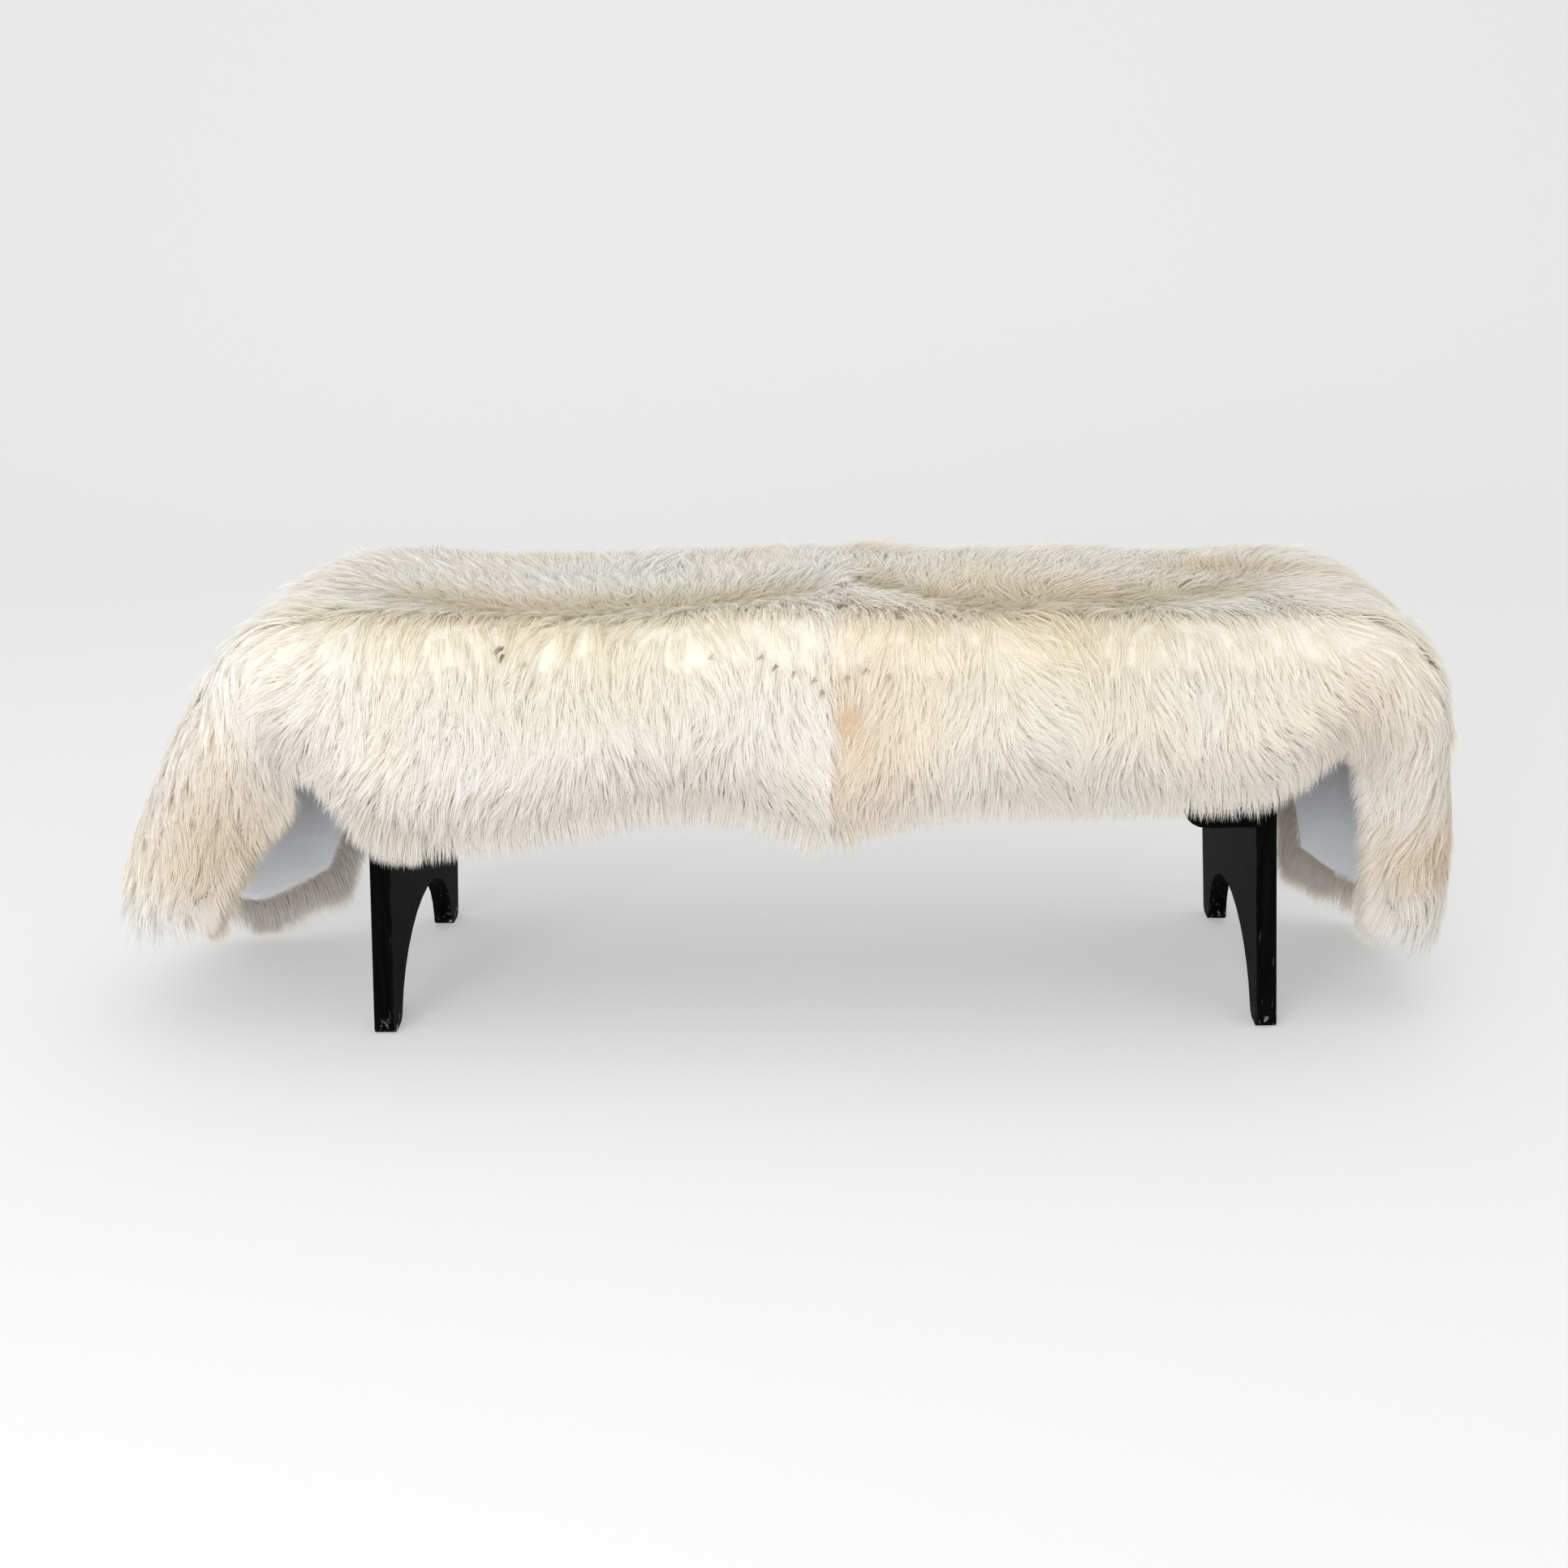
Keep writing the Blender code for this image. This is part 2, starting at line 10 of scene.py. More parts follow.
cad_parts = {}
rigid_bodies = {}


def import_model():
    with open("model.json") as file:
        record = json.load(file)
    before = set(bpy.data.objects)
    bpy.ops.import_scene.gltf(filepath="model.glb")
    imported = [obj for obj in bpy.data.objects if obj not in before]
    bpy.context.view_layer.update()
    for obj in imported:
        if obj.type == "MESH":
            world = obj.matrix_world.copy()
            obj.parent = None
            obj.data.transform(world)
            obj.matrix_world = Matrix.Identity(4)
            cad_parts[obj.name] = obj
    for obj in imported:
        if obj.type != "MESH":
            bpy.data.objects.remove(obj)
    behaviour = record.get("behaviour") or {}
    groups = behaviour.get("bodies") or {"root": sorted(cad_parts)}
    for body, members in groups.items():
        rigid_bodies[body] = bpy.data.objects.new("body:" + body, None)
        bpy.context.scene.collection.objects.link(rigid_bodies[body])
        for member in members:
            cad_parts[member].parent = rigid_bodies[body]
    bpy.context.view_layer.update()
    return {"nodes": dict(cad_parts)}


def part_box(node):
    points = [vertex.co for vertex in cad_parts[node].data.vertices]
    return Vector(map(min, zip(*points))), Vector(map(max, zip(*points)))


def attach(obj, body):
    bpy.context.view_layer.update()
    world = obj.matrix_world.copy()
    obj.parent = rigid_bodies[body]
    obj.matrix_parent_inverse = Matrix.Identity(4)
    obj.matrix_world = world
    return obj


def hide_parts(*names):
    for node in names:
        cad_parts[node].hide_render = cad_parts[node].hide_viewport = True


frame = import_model()


# The bench. Sawn softwood boards, butt jointed and painted black by brush. The satin
# paint is thin along the edges, and the feet have lost chips of it to the floor.

def colour(red, green, blue):
    """A paint or wool colour by its 0 to 255 values, as the shaders want it."""
    return tuple(((value / 255 + 0.055) / 1.055) ** 2.4 if value > 10 else value / 255 / 12.92
                 for value in (red, green, blue)) + (1.0,)


def new_finish(name, base, roughness):
    finish = bpy.data.materials.new(name)
    finish.use_nodes = True
    shader = finish.node_tree.nodes["Principled BSDF"]
    shader.inputs["Base Color"].default_value = base
    shader.inputs["Roughness"].default_value = roughness
    return finish, shader


def add_node(finish, kind, settings=(), inputs=()):
    """A shader node with its settings and its sockets' values."""
    node = finish.node_tree.nodes.new(kind)
    for label, value in dict(settings).items():
        setattr(node, label, value)
    for label, value in dict(inputs).items():
        node.inputs[label].default_value = value
    return node


def mix_colours(finish, blend, share, first, second):
    """Mixes two colours, each an output or a plain value; the share may be either too."""
    node = add_node(finish, "ShaderNodeMix", {"data_type": "RGBA", "blend_type": blend})
    for socket, value in ((node.inputs[0], share), (node.inputs[6], first), (node.inputs[7], second)):
        if isinstance(value, bpy.types.NodeSocket):
            finish.node_tree.links.new(value, socket)
        else:
            socket.default_value = value
    return node.outputs[2]


def cut_off(finish, value, low, high):
    """0 at a low value, 1 at a high one."""
    cut = add_node(finish, "ShaderNodeMapRange", inputs={"From Min": low, "From Max": high})
    finish.node_tree.links.new(value, cut.inputs["Value"])
    return cut.outputs["Result"]


def pattern(finish, scale, detail, low, high, stretch=(1.0, 1.0, 1.0), turn=(0.0, 0.0, 0.0)):
    """A noise pattern on object coordinates, cut to 0 below low and 1 above high."""
    links = finish.node_tree.links
    place = add_node(finish, "ShaderNodeTexCoord")
    stretched = add_node(finish, "ShaderNodeMapping", inputs={"Scale": stretch, "Rotation": turn})
    cloud = add_node(finish, "ShaderNodeTexNoise", inputs={"Scale": scale, "Detail": detail})
    links.new(place.outputs["Object"], stretched.inputs["Vector"])
    links.new(stretched.outputs["Vector"], cloud.inputs["Vector"])
    return cut_off(finish, cloud.outputs["Fac"], low, high)


def below(finish, top, bottom):
    """1 under a height, fading to 0 above another."""
    place = add_node(finish, "ShaderNodeTexCoord")
    split = add_node(finish, "ShaderNodeSeparateXYZ")
    finish.node_tree.links.new(place.outputs["Object"], split.inputs["Vector"])
    return cut_off(finish, split.outputs["Z"], top, bottom)


def give_relief(finish, shader, height, strength, distance):
    relief = add_node(finish, "ShaderNodeBump", inputs={"Strength": strength, "Distance": distance})
    finish.node_tree.links.new(height, relief.inputs["Height"])
    finish.node_tree.links.new(relief.outputs["Normal"], shader.inputs["Normal"])


def product(finish, first, second):
    node = add_node(finish, "ShaderNodeMath", {"operation": "MULTIPLY"})
    finish.node_tree.links.new(first, node.inputs[0])
    finish.node_tree.links.new(second, node.inputs[1])
    return node.outputs["Value"]


def edge_wear(finish, radius, low, high):
    """1 along the sharp edges, where a rounded normal parts from the flat one."""
    links = finish.node_tree.links
    rounded = add_node(finish, "ShaderNodeBevel", {"samples": 4}, {"Radius": radius})
    flat = add_node(finish, "ShaderNodeNewGeometry")
    compare = add_node(finish, "ShaderNodeVectorMath", {"operation": "DOT_PRODUCT"})
    links.new(rounded.outputs["Normal"], compare.inputs[0])
    links.new(flat.outputs["Normal"], compare.inputs[1])
    return cut_off(finish, compare.outputs["Value"], high, low)


BLACK = colour(4, 4, 5)
WORN_BLACK = colour(30, 33, 36)
BARE_WOOD = colour(150, 142, 130)


def black_paint():
    """Satin black on brushed wood: faint upright brush marks, worn edges, chips at the feet."""
    finish, shader = new_finish("black_paint", BLACK, 0.50)
    brushed = pattern(finish, 9.0, 5.0, 0.35, 0.70, (14.0, 14.0, 1.2))
    worn = product(finish, edge_wear(finish, 0.0025, 0.80, 0.97),
                   pattern(finish, 60.0, 4.0, 0.42, 0.60))
    chipped = product(finish, below(finish, 0.022, 0.002),
                      pattern(finish, 170.0, 3.0, 0.60, 0.66, (1.0, 1.0, 0.7)))
    scratched = product(finish, below(finish, 0.16, 0.02),
                        pattern(finish, 420.0, 2.0, 0.68, 0.72, (1.0, 1.0, 0.08), (0.0, 0.25, 0.1)))
    base = mix_colours(finish, "MIX", brushed, BLACK, colour(10, 11, 12))
    base = mix_colours(finish, "MIX", worn, base, WORN_BLACK)
    base = mix_colours(finish, "MIX", scratched, base, colour(92, 90, 88))
    base = mix_colours(finish, "MIX", chipped, base, BARE_WOOD)
    finish.node_tree.links.new(base, shader.inputs["Base Color"])
    give_relief(finish, shader, brushed, 0.25, 0.0006)
    shader.inputs["IOR"].default_value = 1.20
    shader.inputs["Specular IOR Level"].default_value = 0.04
    return finish


paint = black_paint()
for board in ("bench_seat", "leg_left", "leg_right", "apron_front", "apron_back"):
    frame["nodes"][board].data.materials[0] = paint


# The drape. Two tanned skins sewn end to end lie over the bench, each a little short of
# a metre. Their rows say how deep the edges hang and how the ends bend down.

seat_low, seat_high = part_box("bench_seat")
BENCH_X = (seat_low.x + seat_high.x) / 2
SEAT_TOP = seat_high.z
SEAT_HALF_LENGTH = (seat_high.x - seat_low.x) / 2
SEAM_X = 0.008
SEAM_GAP = 0.0003
SKIN_OVER_SEAT = 0.0009
SKIN_OFF_END = 0.002
LEATHER_THICK = 0.0025
LUMP_HEIGHT = 0.007
LUMP_PITCH = 0.11
LUMP_FADE = 0.05
RIM_FALL = 0.060
RIM_LOFT = 0.70
RIPPLE = 0.007
RIPPLE_LENGTH = 0.31
RIPPLE_DEPTH = 0.15
END_ROUND_FROM = 0.55
END_ROUND_POWER = 4
NORMAL_STEP = 0.004
PELTS = {
    "left": {"side": -1, "radius": 0.090, "bend": math.radians(53), "flap": 0.318,
             "settle": math.radians(17), "short_front": 0.085, "short_back": 0.060, "long_back": 0.045,
             "seed": 3.0},
    "right": {"side": 1, "radius": 0.108, "bend": math.radians(80), "flap": 0.268,
              "settle": math.radians(6), "short_front": 0.078, "short_back": 0.050, "long_back": 0.032,
              "seed": 11.0},
}
TURN_BEFORE_END = 0.080
TURN_PAST_END = 0.260
BACK_TURN_SHARE = 0.72

# A row for each section across a skin, in metres: its distance from the seam, how deep
# the leather hangs in front and behind, half the flat width to the front and to the
# back, the radius of the corner between them, and the wool's loft.
COLUMNS = ("along", "front", "back", "flat_front", "flat_back", "corner", "loft")
SECTIONS = {
    "left": (
        (0.000, 0.186, 0.150, 0.156, 0.156, 0.014, 0.050),
        (0.042, 0.169, 0.142, 0.156, 0.156, 0.014, 0.049),
        (0.090, 0.154, 0.134, 0.156, 0.156, 0.014, 0.047),
        (0.194, 0.146, 0.128, 0.156, 0.156, 0.014, 0.042),
        (0.282, 0.164, 0.132, 0.156, 0.156, 0.014, 0.039),
        (0.335, 0.177, 0.140, 0.156, 0.156, 0.014, 0.038),
        (0.405, 0.186, 0.148, 0.156, 0.156, 0.014, 0.040),
        (0.470, 0.184, 0.142, 0.156, 0.156, 0.014, 0.044),
        (0.500, 0.160, 0.126, 0.156, 0.156, 0.014, 0.045),
        (0.535, 0.126, 0.110, 0.156, 0.156, 0.014, 0.044),
        (0.580, 0.100, 0.104, 0.155, 0.152, 0.016, 0.042),
        (0.640, 0.092, 0.112, 0.142, 0.130, 0.026, 0.041),
        (0.710, 0.094, 0.130, 0.122, 0.096, 0.042, 0.041),
        (0.781, 0.096, 0.152, 0.108, 0.054, 0.054, 0.042),
        (0.860, 0.088, 0.164, 0.100, 0.028, 0.060, 0.044),
        (0.990, 0.070, 0.160, 0.094, 0.014, 0.062, 0.045),
    ),
    "right": (
        (0.000, 0.186, 0.150, 0.156, 0.156, 0.014, 0.050),
        (0.032, 0.172, 0.144, 0.156, 0.156, 0.014, 0.047),
        (0.085, 0.156, 0.136, 0.156, 0.156, 0.014, 0.043),
        (0.164, 0.145, 0.132, 0.156, 0.156, 0.014, 0.041),
        (0.230, 0.147, 0.134, 0.156, 0.156, 0.014, 0.045),
        (0.331, 0.147, 0.136, 0.156, 0.156, 0.014, 0.042),
        (0.400, 0.143, 0.134, 0.156, 0.156, 0.014, 0.040),
        (0.453, 0.138, 0.128, 0.156, 0.156, 0.014, 0.042),
        (0.495, 0.120, 0.118, 0.156, 0.156, 0.014, 0.044),
        (0.545, 0.096, 0.104, 0.156, 0.156, 0.014, 0.044),
        (0.590, 0.080, 0.094, 0.151, 0.150, 0.018, 0.044),
        (0.650, 0.078, 0.094, 0.136, 0.122, 0.030, 0.042),
        (0.710, 0.074, 0.100, 0.118, 0.096, 0.042, 0.042),
        (0.785, 0.066, 0.108, 0.104, 0.078, 0.052, 0.041),
        (0.880, 0.064, 0.104, 0.096, 0.068, 0.050, 0.040),
        (1.000, 0.064, 0.092, 0.090, 0.062, 0.046, 0.040),
    ),
}


def smooth_step(value):
    value = min(max(value, 0.0), 1.0)
    return value * value * (3.0 - 2.0 * value)


def section_at(name, along):
    """The table's columns at a distance from the seam, on a smooth curve through its rows."""
    rows = SECTIONS[name]
    last = len(rows) - 1
    k = 0
    while k < last - 1 and along > rows[k + 1][0]:
        k += 1
    before, start, end, after = (rows[max(k - 1, 0)], rows[k], rows[k + 1], rows[min(k + 2, last)])
    span = end[0] - start[0]
    t = min(max((along - start[0]) / span, 0.0), 1.0)
    values = {}
    for column, label in enumerate(COLUMNS[1:], 1):
        slope_in = (end[column] - before[column]) / (end[0] - before[0]) * span
        slope_out = (after[column] - start[column]) / (after[0] - start[0]) * span
        rise = end[column] - start[column]
        values[label] = (start[column] + slope_in * t
                         + (3.0 * rise - 2.0 * slope_in - slope_out) * t * t
                         + (slope_in + slope_out - 2.0 * rise) * t * t * t)
    return values


def flat_run(pelt):
    """From the seam to where the skin leaves the bench's end."""
    return SEAT_HALF_LENGTH + SKIN_OFF_END - pelt["side"] * SEAM_X


def full_length(pelt):
    return flat_run(pelt) + pelt["radius"] * pelt["bend"] + pelt["flap"]


def arc_step(out, up, tilt, length, turn):
    """Follows an arc of a length that turns down from a tilt: where it ends, and its tilt there."""
    chord = length * (math.sin(turn / 2) / (turn / 2) if turn > 0.0001 else 1.0)
    heading = tilt + turn / 2
    return out + chord * math.cos(heading), up - chord * math.sin(heading), tilt + turn


def spine_at(pelt, along):
    """The skin's middle line at a distance from the seam: how far out and how far up."""
    run, radius, bend = flat_run(pelt), pelt["radius"], pelt["bend"]
    past = max(along - run, 0.0)
    curved = min(past, radius * bend)
    hanging = past - curved
    out, up, tilt = arc_step(min(along, run), 0.0, 0.0, curved, curved / radius)
    out, up, tilt = arc_step(out, up, tilt, hanging, pelt["settle"] * hanging / pelt["flap"])
    return out, up


def side_turn(pelt, along, across):
    """How far a hanging side has turned towards the bench, the back one less than the front one."""
    start = flat_run(pelt) - TURN_BEFORE_END
    share = smooth_step((along - start) / (TURN_BEFORE_END + TURN_PAST_END))
    if across > 0:
        share *= BACK_TURN_SHARE
    return share * (pelt["bend"] + pelt["settle"])


def leather_point(name, along, across):
    """A point on the suede side: along from the seam, across from the middle line."""
    pelt = PELTS[name]
    row = section_at(name, along)
    flat = row["flat_front"] if across < 0 else row["flat_back"]
    length, corner = abs(across), row["corner"]
    turn = min(max((length - flat) / corner, 0.0), math.pi / 2)
    hang = max(length - flat - corner * math.pi / 2, 0.0)
    sideways = min(length, flat) + corner * math.sin(turn)
    inward = corner * (1.0 - math.cos(turn)) + hang
    wave = math.sin(2.0 * math.pi * along / RIPPLE_LENGTH + pelt["seed"])
    sideways += RIPPLE * (1.0 + wave) * smooth_step(hang / RIPPLE_DEPTH)
    out, up = spine_at(pelt, along)
    turned = side_turn(pelt, along, across)
    out -= inward * math.sin(turned)
    up -= inward * math.cos(turned)
    return Vector((BENCH_X + SEAM_X + pelt["side"] * out,
                   math.copysign(sideways, across),
                   SEAT_TOP + SKIN_OVER_SEAT + up))


def skin_steps(name, along, across):
    """Two short steps on the suede, one away from the seam and one towards the back edge."""
    step = NORMAL_STEP
    return (leather_point(name, along + step, across) - leather_point(name, along - step, across),
            leather_point(name, along, across + step) - leather_point(name, along, across - step))


def wool_way(name, along, across):
    """The way out of the skin, square to its suede."""
    lengthwise, crosswise = skin_steps(name, along, across)
    return PELTS[name]["side"] * lengthwise.cross(crosswise).normalized()


def edge_length(name, along, side):
    """From the middle line over the corner to the leather's edge."""
    row = section_at(name, along)
    flat, hang = (row["flat_front"], row["front"]) if side < 0 else (row["flat_back"], row["back"])
    return flat + row["corner"] * math.pi / 2 + hang - row["corner"]


def across_steps(name, along, flat_steps, corner_steps, side_steps):
    """Distances across the skin, from the front edge to the back edge."""
    row = section_at(name, along)
    halves = []
    for side, flat in ((-1, row["flat_front"]), (1, row["flat_back"])):
        turn = row["corner"] * math.pi / 2
        hang = edge_length(name, along, side) - flat - turn
        half = [flat * k / flat_steps for k in range(1, flat_steps + 1)]
        half += [flat + turn * k / corner_steps for k in range(1, corner_steps + 1)]
        half += [flat + turn + hang * k / side_steps for k in range(1, side_steps + 1)]
        halves.append([side * value for value in half])
    return halves[0][::-1] + [0.0] + halves[1]


def drawn_in(name, along, share):
    """How much nearer the seam a place lies towards the uneven end, by its share of the half width."""
    pelt = PELTS[name]
    short = pelt["short_front"] if share < 0 else pelt["short_back"]
    past = (along / full_length(pelt) - END_ROUND_FROM) / (1.0 - END_ROUND_FROM)
    lobe = pelt["long_back"] * math.sin(math.pi * max(share, 0.0)) ** 2
    return smooth_step(past) * (short * abs(share) ** END_ROUND_POWER - lobe)


def skin_grid(name, step, across_counts):
    """Stations along, and at each the distances across: (along, across) for every grid point."""
    length = full_length(PELTS[name])
    count = round(length / step)
    grid = []
    for i in range(count + 1):
        along = length * i / count
        steps = across_steps(name, along, *across_counts)
        widest = max(abs(steps[0]), abs(steps[-1]))
        grid.append([(along - drawn_in(name, along, across / widest), across) for across in steps])
    return grid


# The suede. The flesh side of each skin, buffed to a matt grey-white nap. It is one sheet
# of leather 2.5 mm thick, cut by knife round its edge, with soft creases where it bends.

CREASE_HEIGHT = 0.0022
# A row for each crease that shows: skin, along, across, half length, half width, its turn
# from the skin's length, and its depth.
CREASES = (
    ("left", 0.800, -0.150, 0.050, 0.008, 0.9, 0.0050),
    ("left", 0.860, -0.120, 0.070, 0.012, 0.5, 0.0040),
    ("left", 0.700, -0.190, 0.060, 0.012, 1.2, 0.0040),
    ("left", 0.760, 0.120, 0.080, 0.014, 0.3, 0.0035),
    ("right", 0.780, -0.120, 0.060, 0.012, 0.4, 0.0040),
    ("right", 0.840, 0.100, 0.070, 0.013, 0.7, 0.0035),
    ("right", 0.720, 0.140, 0.060, 0.012, 1.1, 0.0035),
)


def crease_lift(name, along, across):
    """How far the suede is pushed out by its small ripples and its named creases."""
    off_bench = smooth_step((along - flat_run(PELTS[name])) / 0.06)
    ripple = noise.noise(Vector((along / 0.045, across / 0.07, PELTS[name]["seed"])))
    lift = CREASE_HEIGHT * ripple * off_bench
    for skin, centre_along, centre_across, half_long, half_wide, turn, deep in CREASES:
        if skin != name:
            continue
        da, db = along - centre_along, across - centre_across
        lengthwise = da * math.cos(turn) + db * math.sin(turn)
        crosswise = db * math.cos(turn) - da * math.sin(turn)
        reach = (lengthwise / half_long) ** 2 + (crosswise / half_wide) ** 2
        lift += deep * math.exp(-reach)
    return lift


def off_rim(name, spot, way, beyond, lift):
    along, across = spot[0] + way[0] * beyond, spot[1] + way[1] * beyond
    return leather_point(name, along, across) + lift * wool_way(name, spot[0], spot[1])


def rim_loop(grid):
    """Grid places from the seam down the front edge, across the end and up the back edge."""
    rows, columns = len(grid), len(grid[0])
    front = [(i, 0) for i in range(rows)]
    end = [(rows - 1, j) for j in range(1, columns)]
    back = [(i, columns - 1) for i in range(rows - 2, -1, -1)]
    return front + end + back


def rim_ways(grid):
    """Which way each place of the rim looks off the skin, square to the rim: (along, across)."""
    loop = rim_loop(grid)
    spots = [grid[i][j] for i, j in loop]
    ways = {loop[0]: (0.0, -1.0), loop[-1]: (0.0, 1.0)}
    for place, before, after in zip(loop[1:-1], spots, spots[2:]):
        run, rise = after[0] - before[0], after[1] - before[1]
        size = math.hypot(run, rise)
        ways[place] = (rise / size, -run / size)
    return ways


def finished_mesh(form, label):
    mesh = bpy.data.meshes.new(label)
    form.to_mesh(mesh)
    form.free()
    return mesh


def put_in_scene(label, data):
    """An object for a mesh, a lamp or the camera."""
    holder = bpy.data.objects.new(label, data)
    bpy.context.scene.collection.objects.link(holder)
    return holder


def closed_skin(name, grid, inner, outer, rings):
    """A closed mesh between two lifts over the grid, its rim carried by rings: (beyond, lift)."""
    rows, columns = len(grid), len(grid[0])
    ways = rim_ways(grid)
    seam = BENCH_X + SEAM_X + PELTS[name]["side"] * SEAM_GAP / 2
    form = bmesh.new()

    def add(i, j, beyond, lift):
        spot = grid[i][j]
        point = off_rim(name, spot, ways.get((i, j), (0.0, 0.0)), beyond, lift(name, *spot))
        if i == 0:
            point.x = seam
        return form.verts.new(point)

    low = [[add(i, j, 0.0, inner) for j in range(columns)] for i in range(rows)]
    crest = rings[-1][0] if rings else 0.0
    high = [[add(i, j, crest, outer) for j in range(columns)] for i in range(rows)]
    loop = rim_loop(grid)
    edges = [[low[i][j] for i, j in loop]]
    edges += [[add(i, j, beyond, lift) for i, j in loop] for beyond, lift in rings[:-1]]
    edges.append([high[i][j] for i, j in loop])
    for i in range(rows - 1):
        for j in range(columns - 1):
            form.faces.new((low[i][j], low[i][j + 1], low[i + 1][j + 1], low[i + 1][j]))
            form.faces.new((high[i][j], high[i + 1][j], high[i + 1][j + 1], high[i][j + 1]))
    for near, far in zip(edges, edges[1:]):
        for k in range(len(loop) - 1):
            form.faces.new((near[k], near[k + 1], far[k + 1], far[k]))
    for j in range(columns - 1):
        form.faces.new((low[0][j], high[0][j], high[0][j + 1], low[0][j + 1]))
    if rings:
        form.faces.new([edge[0] for edge in edges])
        form.faces.new([edge[-1] for edge in edges][::-1])
    bmesh.ops.recalc_face_normals(form, faces=form.faces)
    for face in form.faces:
        face.smooth = True
    return finished_mesh(form, name)


def suede_finish():
    """Matt nap: cloudy grey-white, a little darker in broad patches, with a fine napped grain, and painted
    light that makes it paler and bluer towards the bottom.
    """
    finish, shader = new_finish("suede", colour(214, 212, 211), 0.92)
    cloud = pattern(finish, 14.0, 5.0, 0.30, 0.72)
    nap = pattern(finish, 900.0, 3.0, 0.30, 0.70)
    base = mix_colours(finish, "MIX", cloud, colour(178, 175, 173), colour(206, 205, 204))
    # Painted light: below 0.30 m the suede is painted paler and bluer, fully so under 0.14 m, for the light
    # from the floor.
    base = mix_colours(finish, "MIX", below(finish, 0.30, 0.14), base, colour(232, 234, 238))
    base = mix_colours(finish, "MULTIPLY", 0.15, base, nap)
    finish.node_tree.links.new(base, shader.inputs["Base Color"])
    give_relief(finish, shader, nap, 0.35, 0.0008)
    shader.inputs["Sheen Weight"].default_value = 0.35
    shader.inputs["Sheen Roughness"].default_value = 0.45
    return finish


def wool_side(name, along, across):
    return crease_lift(name, along, across) + LEATHER_THICK


suede = suede_finish()
SUEDE_STEP = 0.0095
SUEDE_ACROSS = (13, 6, 18)
for name in PELTS:
    mesh = closed_skin(name, skin_grid(name, SUEDE_STEP, SUEDE_ACROSS), crease_lift, wool_side, [])
    mesh.materials.append(suede)
    sheet = put_in_scene("suede_" + name, mesh)
    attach(sheet, "root")


# The seam. The two skins meet edge to edge and are whipped together on the flesh side
# with waxed thread, one slanting stitch every few millimetres.

STITCH_PITCH = 0.006
STITCH_LONG = 0.008
STITCH_SLANT = 0.45
STITCH_BOW = 0.0009
THREAD_HALF = 0.00045
THREAD_SIDES = 5
SEAM_SHOWS_FROM = 0.195
SEAM_STOPS_SHORT = 0.004


def stitch_mesh():
    """One stitch lying along +X: a thread bowed up over the join, its ends sunk in the leather."""
    form = bmesh.new()
    rings = []
    for t in (-1.0, -0.6, 0.0, 0.6, 1.0):
        middle = Vector((0.5 * STITCH_LONG * t, 0.0, STITCH_BOW * (1.0 - 1.6 * t * t)))
        turns = [2.0 * math.pi * k / THREAD_SIDES for k in range(THREAD_SIDES)]
        rings.append([form.verts.new(middle + THREAD_HALF * Vector((0.0, math.cos(a), math.sin(a))))
                      for a in turns])
    for first, second in zip(rings, rings[1:]):
        for k in range(THREAD_SIDES):
            after = (k + 1) % THREAD_SIDES
            form.faces.new((first[k], first[after], second[after], second[k]))
    form.faces.new(rings[0][::-1])
    form.faces.new(rings[-1])
    bmesh.ops.recalc_face_normals(form, faces=form.faces)
    return finished_mesh(form, "stitch")


def laying_tree():
    """Stands a picked piece on every point, upright by 'out', pointing by 'lay', sized by 'size'."""
    tree = bpy.data.node_groups.new("lay_pieces", "GeometryNodeTree")
    face = tree.interface
    face.new_socket("Geometry", in_out="INPUT", socket_type="NodeSocketGeometry")
    pieces_socket = face.new_socket("Pieces", in_out="INPUT", socket_type="NodeSocketCollection")
    finish_socket = face.new_socket("Finish", in_out="INPUT", socket_type="NodeSocketMaterial")
    face.new_socket("Geometry", in_out="OUTPUT", socket_type="NodeSocketGeometry")
    nodes = tree.nodes
    start, end = nodes.new("NodeGroupInput"), nodes.new("NodeGroupOutput")
    fields = {}
    for label, kind in (("out", "FLOAT_VECTOR"), ("lay", "FLOAT_VECTOR"), ("size", "FLOAT_VECTOR"),
                        ("pick", "INT")):
        fields[label] = nodes.new("GeometryNodeInputNamedAttribute")
        fields[label].data_type = kind
        fields[label].inputs["Name"].default_value = label
    turn = nodes.new("FunctionNodeAxesToRotation")
    turn.primary_axis, turn.secondary_axis = "Z", "X"
    bundle = nodes.new("GeometryNodeCollectionInfo")
    bundle.inputs["Separate Children"].default_value = True
    bundle.inputs["Reset Children"].default_value = True
    place = nodes.new("GeometryNodeInstanceOnPoints")
    place.inputs["Pick Instance"].default_value = True
    real = nodes.new("GeometryNodeRealizeInstances")
    coat = nodes.new("GeometryNodeSetMaterial")
    for source, output, target, entry in (
            (start, "Pieces", bundle, "Collection"), (start, "Geometry", place, "Points"),
            (fields["out"], "Attribute", turn, "Primary Axis"),
            (fields["lay"], "Attribute", turn, "Secondary Axis"),
            (fields["pick"], "Attribute", place, "Instance Index"),
            (fields["size"], "Attribute", place, "Scale"),
            (bundle, "Instances", place, "Instance"), (turn, "Rotation", place, "Rotation"),
            (place, "Instances", real, "Geometry"), (real, "Geometry", coat, "Geometry"),
            (start, "Finish", coat, "Material"), (coat, "Geometry", end, "Geometry")):
        tree.links.new(source.outputs[output], target.inputs[entry])
    return tree, pieces_socket.identifier, finish_socket.identifier


def new_bundle(label, meshes):
    """Pieces to pick from, kept out of the finished scene."""
    bundle = bpy.data.collections.new(label)
    bpy.context.scene.collection.children.link(bundle)
    for k, mesh in enumerate(meshes):
        bundle.objects.link(bpy.data.objects.new(f"{label}_{k}", mesh))
    return bundle


